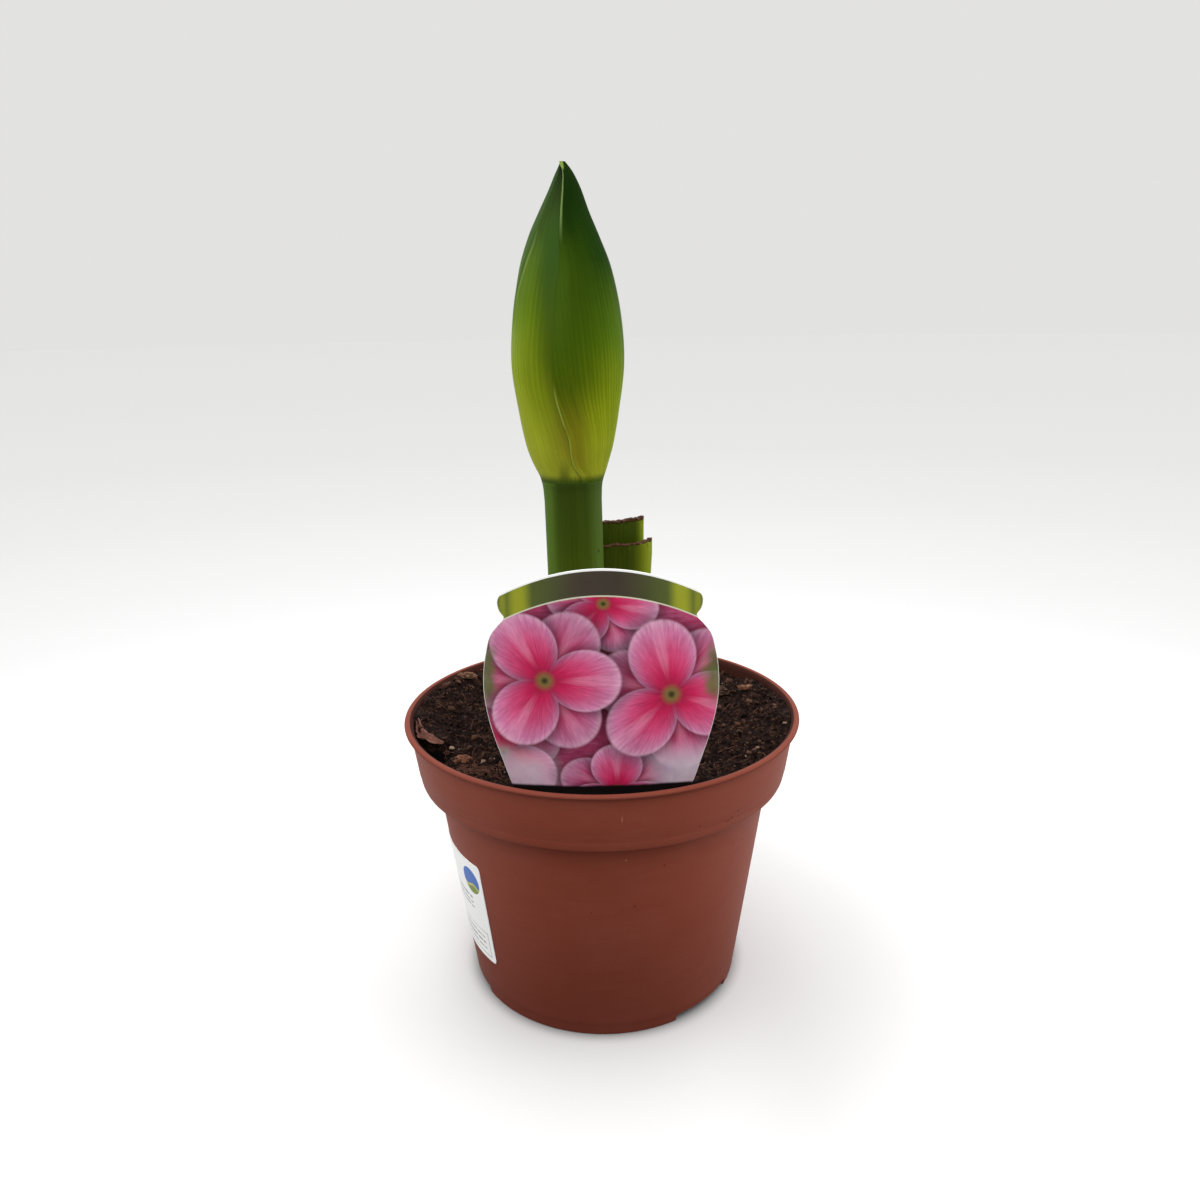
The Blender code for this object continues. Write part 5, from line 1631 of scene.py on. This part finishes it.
@dataclass
class LeafStub:
    """A cut leaf: a shallow channel that narrows into the bulb's neck, with a dried ragged cut."""

    node: str
    plan: Points
    tops: Point
    rims: Point
    painted_light_from: float
    middle_thickness: float = 0.0026
    edge_thickness: float = 0.0013
    foot_z: float = 0.092
    neck_x: float = 0.0015
    # Height and how wide the leaf is there, as a share of its plan
    scale: Points = ((0.092, 0.56), (0.127, 0.62), (0.155, 0.95), (0.166, 1.0))
    columns: int = 72
    rows: int = 90

    def build(self) -> None:
        """Lays the leaf's middle over its form, thickens it and tears its cut."""
        middle = (self.neck_x, self.plan[len(self.plan) // 2][1])
        stations = [(i / (len(self.plan) - 1), x, y) for i, (x, y) in enumerate(self.plan)]
        seed = self.plan[0][1] * 900.0

        def place(across: float, up: float) -> Vector:
            """A point in the middle of the leaf's thickness."""
            top = self.tops[0] + (self.tops[1] - self.tops[0]) * across
            top += 0.0005 * ripple(across * 9.0, seed)
            top += 0.0003 * ripple(across * 26.0, seed, 5.0)
            z = self.foot_z + (top - self.foot_z) * up
            x, y = interpolate(stations, across)
            scale = interpolate(self.scale, z)[0]
            y += 0.0004 * eased(top - z, 0.004, 0.0) * ripple(across * 14.0, seed, 9.0)
            return Vector((middle[0] + (x - middle[0]) * scale, middle[1] + (y - middle[1]) * scale, z))

        leaf = grid(f"{self.node}_stub", self.columns, self.rows, place)
        group = leaf.vertex_groups.new(name="wall")
        for vertex in leaf.data.vertices:
            across = (vertex.index % (self.columns + 1)) / self.columns
            span = math.sqrt(max(1 - (2 * across - 1) ** 2, 0.0))
            thick = self.edge_thickness + (self.middle_thickness - self.edge_thickness) * span
            group.add([vertex.index], thick / self.middle_thickness, "REPLACE")
        modified(leaf, "SOLIDIFY", thickness=self.middle_thickness, offset=0.0, vertex_group="wall")
        self._torn(leaf, seed)
        height = sum(self.tops) / 2 - self.foot_z
        finish = LeafGreen().material(self.node, height, self.rims, self.painted_light_from)
        handed_over(leaf, 45.0, [finish], "leaf_green", self.node)

    def _torn(self, leaf: Piece, seed: float) -> None:
        """Roughens the cut: it swells a little and its dry fibres stand up unevenly."""
        cut = min(self.tops) - 0.0014
        for vertex in leaf.data.vertices:
            high = eased(vertex.co.z, cut, cut + 0.0016)
            if high:
                spot = vertex.co / 0.0011 + Vector((seed, 0.0, 0.0))
                vertex.co.z += 0.0003 * high * noise.noise(spot)
                vertex.co.y += 0.00035 * high * noise.noise(spot + Vector((0.0, 9.0, 0.0)))


@dataclass
class PictureLabel:
    """The thin die-cut card in front of the plant, with a plain arched band and a flower print."""

    # Height and half width of the outline
    outline: Points = (
        (0.058, 0.002), (0.064, 0.007), (0.084, 0.0085), (0.088, 0.0125), (0.091, 0.0215), (0.095, 0.0272),
        (0.1015, 0.0303), (0.11, 0.0332), (0.12, 0.0364), (0.128, 0.0382), (0.135, 0.0389), (0.142, 0.0386),
        (0.148, 0.0376), (0.1537, 0.036), (0.157, 0.0336), (0.16, 0.0312), (0.1622, 0.0326),
        (0.1648, 0.0332), (0.1668, 0.0327), (0.1685, 0.0312)
    )
    widest: float = 0.0389
    arch_height: float = 0.008
    arch_from: float = 0.15
    edge_y: float = -0.051
    bow: float = 0.004
    lean: float = 0.026
    lean_from: float = 0.101
    thickness: float = 0.0006
    band_z: float = 0.1676
    band_bow: float = 0.0125
    edge_colour: Colour = (0.5, 0.48, 0.42)
    back_colour: Colour = (0.7, 0.71, 0.66)
    columns: int = 72
    rows: int = 150
    # Blossoms as X, Z, radius, height over breadth and turn, the farthest first
    blossoms: Rows = (
        (0.001, 0.165, 0.019, 0.9, 0.3), (-0.033, 0.113, 0.021, 1.05, 0.9), (0.005, 0.1, 0.021, 0.85, 0.75),
        (0.023, 0.1335, 0.027, 1.02, 0.45), (-0.0185, 0.139, 0.0265, 0.98, 0.0)
    )

    def bowed(self, x: float) -> float:
        """The card's Y where it stands in the soil."""
        return self.edge_y - self.bow * (1 - (x / self.widest) ** 2)

    def build(self) -> None:
        """Lays the card over its bow, thickens it and prints it."""
        foot, top = self.outline[0][0], self.outline[-1][0]

        def place(across: float, up: float) -> Vector:
            """A point of the card's printed face."""
            z = foot + (top - foot) * up
            half = interpolate(self.outline, z)[0]
            side = 2 * across - 1
            x = side * half
            arch = eased(z, self.arch_from, top) * self.arch_height * (1 - side * side)
            y = self.bowed(x) + self.lean * (z - self.lean_from)
            return Vector((x, y - self.thickness / 2, z + arch))

        card = grid("picture_card", self.columns, self.rows, place)
        modified(
            card, "SOLIDIFY", thickness=self.thickness, offset=-1.0, material_offset=2, material_offset_rim=1
        )
        plain = (self._plain("card_edge", self.edge_colour), self._plain("card_back", self.back_colour))
        handed_over(card, 40.0, [self._print(), *plain], "printed_card", "picture_label")

    @staticmethod
    def _plain(name: str, colour: Colour) -> Finish:
        """Makes the finish of bare card, with a faint fibre."""
        paint = Paint(name)
        fibre = paint.grain(paint.place(), 0.0006)
        return paint.finished(paint.shade(colour, 0.93 + fibre * 0.12), 0.5, paint.bump(fibre, 0.00003))

    def _blossom(
        self, paint: Paint, ground: Value, x: Value, z: Value,
        blossom: tuple[float, float, float, float, float]
    ) -> Value:
        """Draws one blossom, three petals over three, over what is printed below it."""
        centre_x, centre_z, radius, tall, turn = blossom
        right, rise = (x - centre_x) / radius, (z - centre_z) / (radius * tall)
        away = paint.length(right, rise)
        angle = paint.maths("ARCTAN2", rise, right) * 1.5 + turn
        picture = ground
        for turned, size, tone in ((math.pi / 2, 1.0, 0.86), (0.0, 0.97, 1.06)):
            petal = abs(paint.maths("COSINE", angle + turned))
            reach = petal ** 0.95 * (0.66 * size) + 0.34 * size
            inside = reach - away
            rays = paint.vector(right / away, rise / away, away * 0.2 + centre_x * 90.0)
            streaks = paint.grain(rays, 0.04, 4.0, 0.65)
            sheen = paint.grain(paint.vector(right, rise, centre_z * 900.0 + turned), 0.55, 2.0)
            depth = away / reach + (streaks - 0.5) * 0.12
            colour = paint.ramp(
                depth,
                (
                    (0.04, (0.25, 0.008, 0.03)), (0.3, (0.46, 0.015, 0.075)), (0.6, (0.51, 0.062, 0.16)),
                    (0.86, (0.5, 0.155, 0.29)), (1.0, (0.56, 0.31, 0.42))
                )
            )
            rib = petal.smooth(0.97, 1.0) * depth.smooth(0.15, 0.5)
            colour = paint.mix(rib * 0.22, colour, (0.74, 0.4, 0.55))
            lit = petal.smooth(0.0, 0.7) * 0.36 + streaks * 0.9 + sheen * 0.4 - 0.02
            colour = paint.shade(colour, lit * tone)
            shaded = paint.shade(picture, 1.0 - (inside + 0.22).smooth(0.0, 0.26) * 0.55)
            picture = paint.mix(inside.smooth(0.0, 0.05), shaded, colour)
        return paint.layered(
            picture, (away.fall(0.03, 0.16) * 0.8, (0.16, 0.17, 0.04)),
            (away.fall(0.01, 0.07), (0.04, 0.03, 0.012))
        )

    def _print(self) -> Finish:
        """Prints the card: blossoms, pale and green sides, an arched band, and a black foot that is painted
        shade where the card meets the soil.
        """
        paint = Paint("printed_card")
        x, _, z = paint.axes(paint.place())
        across, _ = paint.shares()
        side = abs(x)
        margin = (1.0 - abs(across * 2.0 - 1.0)) * 36.0
        soft = paint.grain(paint.place(), 0.01)
        lines = paint.grain(paint.vector(x, 0.0, z * 5.0), 0.006)
        colour = paint.ramp(
            soft * 0.5 + lines * 0.5,
            ((0.3, (0.3, 0.016, 0.07)), (0.52, (0.45, 0.06, 0.15)), (0.72, (0.56, 0.2, 0.32)))
        )
        for blossom in self.blossoms:
            colour = self._blossom(paint, colour, x, z, blossom)
        leafy = paint.ramp(soft, ((0.35, (0.03, 0.06, 0.012)), (0.65, (0.1, 0.15, 0.035))))
        patch = ((side + (soft - 0.5) * 0.01) / self.widest).smooth(0.84, 0.95)
        patch = patch * abs(z - 0.14).fall(0.005, 0.013)
        pale = paint.ramp(soft, ((0.3, (0.44, 0.33, 0.42)), (0.7, (0.64, 0.57, 0.62))))
        low = (z + (soft - 0.5) * 0.01).fall(0.107, 0.119) * side.smooth(0.012, 0.023)
        # Painted shade: the card's foot is near black where it meets the soil
        foot = (z + (soft - 0.5) * 0.0012).fall(0.1016, 0.1026)
        arch = z + (x / self.widest) ** 2.0 * self.band_bow
        stripe = abs(side - 0.0262).fall(0.0008, 0.005) + abs(side - 0.0315).fall(0.0003, 0.0018) * 0.6
        olive = paint.mix((side / 0.03).smooth(0.15, 0.85), (0.052, 0.04, 0.029), (0.078, 0.102, 0.022))
        olive = paint.shade(paint.mix(stripe * 0.9, olive, (0.3, 0.32, 0.022)), 0.8 + soft * 0.4)
        rule = abs(arch - self.band_z).fall(0.00012, 0.00034)
        outline = margin.fall(0.1, 0.26) * z.smooth(0.102, 0.104)
        colour = paint.layered(
            colour, (patch * 0.85, leafy), (low * 0.8, pale), (foot, (0.006, 0.004, 0.004)),
            (arch.smooth(0.1675, 0.1679), olive), (rule * 0.85, (0.62, 0.66, 0.48)),
            (outline * 0.8, (0.66, 0.64, 0.6)), (arch.smooth(0.17575, 0.17595), (0.84, 0.84, 0.82))
        )
        return paint.finished(colour, 0.38 + soft * 0.06, None, shine=0.1)


@dataclass
class PotSticker:
    """The white sticker round the pot's left side, with a plain generic print."""

    pot: Pot
    from_azimuth: float = -137.5
    width: float = 0.066
    bottom: float = 0.0195
    top: float = 0.063
    thickness: float = 0.0002
    clear: float = 0.00012
    corner: float = 0.0016
    columns: int = 160
    rows: int = 24
    # In millimetres from its right edge and foot: the roundel, the box's middle and its half size
    roundel: Point = (7.4, 34.6)
    box: Point = (18.0, 7.6)
    box_half: Point = (15.5, 5.4)
    # Grey bars as height, start, end and half thickness
    bars: Rows = (
        (26.0, 9.0, 30.0, 0.45), (23.6, 9.0, 26.0, 0.3), (21.6, 9.0, 28.0, 0.3), (10.2, 5.0, 24.0, 0.3),
        (7.6, 5.0, 30.0, 0.45), (5.0, 5.0, 27.0, 0.3)
    )

    def build(self) -> None:
        """Bends a round-cornered sheet round the pot's body and prints it."""
        middle = self.pot.body_radius((self.top + self.bottom) / 2)
        high = self.top - self.bottom

        def place(across: float, up: float) -> Vector:
            """A point of the sticker's outer face."""
            along_it, rise = (1 - across) * self.width, up * high
            near_side = min(along_it, self.width - along_it)
            if near_side < self.corner:
                inset = self.corner - math.sqrt(max(self.corner**2 - (self.corner - near_side) ** 2, 0.0))
                rise = inset + up * (high - 2 * inset)
            z = self.bottom + rise
            angle = math.radians(self.from_azimuth) - along_it / middle
            reach = self.pot.body_radius(z) + self.clear + self.thickness
            return polar(reach, angle, z)

        sheet = grid("pot_label_sheet", self.columns, self.rows, place)
        modified(sheet, "SOLIDIFY", thickness=self.thickness, offset=-1.0)
        handed_over(sheet, 40.0, [self._print()], "sticker_paper", "pot_sticker")

    def _print(self) -> Finish:
        """Prints the sticker: a blue and green roundel, grey bars and a framed box."""
        paint = Paint("sticker_paper")
        across, up = paint.shares()
        right = (1.0 - across) * self.width * 1000.0
        rise = up * (self.top - self.bottom) * 1000.0
        fibre = paint.grain(paint.place(), 0.0008)
        away = paint.length(right - self.roundel[0], rise - self.roundel[1])
        hill = rise + paint.maths("SINE", right * 0.7 + 0.4) * 0.7
        inner = paint.layered(
            (0.075, 0.165, 0.48), ((hill - 33.0).fall(-0.1, 0.1), (0.2, 0.27, 0.06)),
            (abs(hill - 32.4).fall(0.35, 0.55), (0.55, 0.52, 0.16))
        )
        dashes = paint.grain(paint.vector(right, 0.0), 1.1, 1.0).smooth(0.42, 0.46)
        bars = []
        for line, start, end, half in self.bars:
            bar = abs(rise - line).fall(half, half + 0.12) * right.smooth(start, start + 0.2)
            bars.append((bar * right.fall(end, end + 0.2) * dashes * 0.75, (0.13, 0.13, 0.14)))
        box_x = abs(right - self.box[0]) - self.box_half[0]
        box_z = abs(rise - self.box[1]) - self.box_half[1]
        box = abs(box_x).fall(0.08, 0.2) + abs(box_z).fall(0.08, 0.2)
        box = box * box_x.fall(0.1, 0.3) * box_z.fall(0.1, 0.3)
        colour = paint.layered(
            paint.shade((0.86, 0.86, 0.85), 0.94 + fibre * 0.12), (away.fall(5.4, 5.6), inner), *bars,
            (box * 0.8, (0.1, 0.1, 0.11))
        )
        return paint.finished(colour, 0.42, paint.bump(fibre, 0.00002), shine=0.15)


@dataclass
class YoungBuds:
    """The flower buds inside the bracts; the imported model's own shape is right for them."""

    node: str = "flower_buds"

    def build(self) -> None:
        """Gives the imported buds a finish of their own."""
        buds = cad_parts[self.node]
        buds.data.materials.clear()
        buds.data.materials.append(YoungBud().material())
        log.info("%s: kept from the packed model", self.node)


# The surroundings


@dataclass
class Surroundings:
    """A plain pale floor, soft light from all round and above, and the photograph's viewpoint."""

    camera_place: tuple[float, float, float] = (0.0, -0.3597, 0.2555)
    pitch: float = math.radians(16.25)
    roll: float = math.radians(-0.876)
    lens: float = 30.03
    sensor: float = 36.0
    clip: Point = (0.01, 50.0)
    floor_radius: float = 9.0
    glow_radius: float = 8.0
    # Distance from the plant, as a share of that radius, and the floor's own light there
    glow: tuple[tuple[float, Colour], ...] = (
        (0.0646, WHITE), (0.0888, (0.93, 0.93, 0.925)), (0.1275, (0.863, 0.863, 0.855)),
        (0.191, (0.815, 0.815, 0.805)), (0.3275, (0.79, 0.79, 0.778)), (0.825, (0.775, 0.773, 0.76))
    )
    # Name, place, size and power
    lamps: tuple[tuple[str, Colour, float, float], ...] = (
        ("lamp_above", (0.0, 0.25, 1.5), 1.1, 3.0), ("lamp_front", (0.12, -1.15, 1.05), 0.8, 7.8),
        ("lamp_left", (-1.3, -0.15, 0.75), 0.9, 2.45), ("lamp_right", (1.3, 0.0, 0.5), 0.9, 5.2)
    )
    lit_height: float = 0.14

    def build(self) -> None:
        """Sets the floor, the light and the camera."""
        self._floor()
        self._sky()
        self._lamps()
        self._camera()
        bpy.context.scene.view_settings.view_transform = "Standard"

    def _camera(self) -> None:
        """Places the camera where the photograph was taken from."""
        data = bpy.data.cameras.new("camera")
        data.lens = self.lens
        data.sensor_width = self.sensor
        data.clip_start, data.clip_end = self.clip
        camera = bpy.data.objects.new("camera", data)
        bpy.context.scene.collection.objects.link(camera)
        pitched = Matrix.Rotation(math.pi / 2 - self.pitch, 4, "X")
        rolled = Matrix.Rotation(self.roll, 4, "Z")
        camera.matrix_world = Matrix.Translation(self.camera_place) @ pitched @ rolled
        bpy.context.scene.camera = camera

    def _floor(self) -> None:
        """Lays the floor: lit near the plant, with a painted shadow under the pot and to its right, evenly
        pale farther off, and dim to the light ahead of it.
        """
        pick(None)
        bpy.ops.mesh.primitive_circle_add(vertices=128, radius=self.floor_radius, fill_type="NGON")
        floor = named(bpy.context.object, "floor")
        paint = Paint("floor_card")
        x, y, _ = paint.axes(paint.place())
        away = paint.length(x, y)
        pale = paint.ramp(away / self.glow_radius, self.glow)
        # Painted shadow: dark under the pot, a soft contact shadow round its foot, and a fainter shadow to
        # its right
        under = paint.mix(away.smooth(0.047, 0.058), (0.075, 0.065, 0.063), (0.585, 0.58, 0.575))
        under = paint.shade(under, 1.0 - x.smooth(0.03, 0.075) * away.fall(0.1, 0.17) * 0.12)
        near = paint.shader(under, 0.8, None, shine=0.0)
        far = paint.shader((0.0, 0.0, 0.0), 1.0, None, shine=0.0, glow=pale)
        seen = paint.node("ShaderNodeMixShader", inputs={0: away.smooth(0.25, 0.6), 1: near, 2: far})
        ahead = (0.0 - y).smooth(-0.02, 0.09) * (1.0 - abs(x).smooth(0.07, 0.14) * 0.85)
        dim = paint.mix(ahead, (0.36, 0.358, 0.355), (0.03, 0.03, 0.03))
        bounce = paint.shader(dim, 1.0, None, shine=0.0)
        both = paint.node("ShaderNodeMixShader", inputs={0: paint.seen(), 1: bounce, 2: seen})
        floor.data.materials.append(paint.closed(both))

    def _sky(self) -> None:
        """Surrounds the plant with soft white, darker on the side that the camera stands on."""
        world = bpy.data.worlds.new("soft_box")
        bpy.context.scene.world = world
        sky = Paint("soft_box", world)
        _, y, z = sky.axes(sky.node("ShaderNodeTexCoord", output="Generated"))
        seen = sky.mix(z.smooth(-0.08, -0.04), WHITE, (0.765, 0.762, 0.75))
        behind = (0.0 - y).smooth(-0.15, 0.75)
        amount = (1.0 - behind * z.fall(0.45, 0.95) * 0.78) * 2.05
        light = sky.shade((0.985, 0.99, 1.0), amount)
        lit = sky.node("ShaderNodeBackground", inputs={"Color": light, "Strength": 1.0})
        shown = sky.node("ShaderNodeBackground", inputs={"Color": seen, "Strength": 1.0})
        both = sky.node("ShaderNodeMixShader", inputs={0: sky.seen(), 1: lit, 2: shown})
        sky.closed(both, "ShaderNodeOutputWorld")

    def _lamps(self) -> None:
        """Hangs large soft lamps above the plant, in front of it and at both its sides."""
        for name, place, size, power in self.lamps:
            data = bpy.data.lights.new(name, "AREA")
            data.size = size
            data.energy = power
            lamp = bpy.data.objects.new(name, data)
            bpy.context.scene.collection.objects.link(lamp)
            lamp.location = place
            aim = Vector((0.0, 0.0, self.lit_height)) - Vector(place)
            lamp.rotation_euler = aim.to_track_quat("-Z", "Y").to_euler()


def main() -> None:
    """Builds the plant piece by piece, then its surroundings."""
    logging.basicConfig(level=logging.INFO, format="%(name)s: %(message)s")
    pot = Pot()
    form = BulbForm()
    label = PictureLabel()
    soil = Soil(pot, form, label)
    pot.build()
    soil.build()
    SoilChips(soil).build()
    TunicFlake().build()
    Bulb(form).build()
    Stalk().build()
    Bracts().build()
    YoungBuds().build()
    LeafStub(
        "leaf_outer",
        (
            (-0.0145, 0.0092), (-0.008, 0.0064), (0.0, 0.0058), (0.008, 0.006), (0.0148, 0.0068),
            (0.0183, 0.0086), (0.0194, 0.011)
        ),
        tops=(0.1694, 0.1717), rims=(0.38, 0.5), painted_light_from=0.62
    ).build()
    LeafStub(
        "leaf_inner",
        (
            (-0.0125, 0.0138), (-0.006, 0.0116), (0.002, 0.0108), (0.009, 0.0112), (0.014, 0.0121),
            (0.0167, 0.0134)
        ),
        tops=(0.1772, 0.1798), rims=(0.45, 1.2), painted_light_from=0.8
    ).build()
    label.build()
    PotSticker(pot).build()
    Surroundings().build()
    log.info("sizes written")


if __name__ == "__main__":
    main()
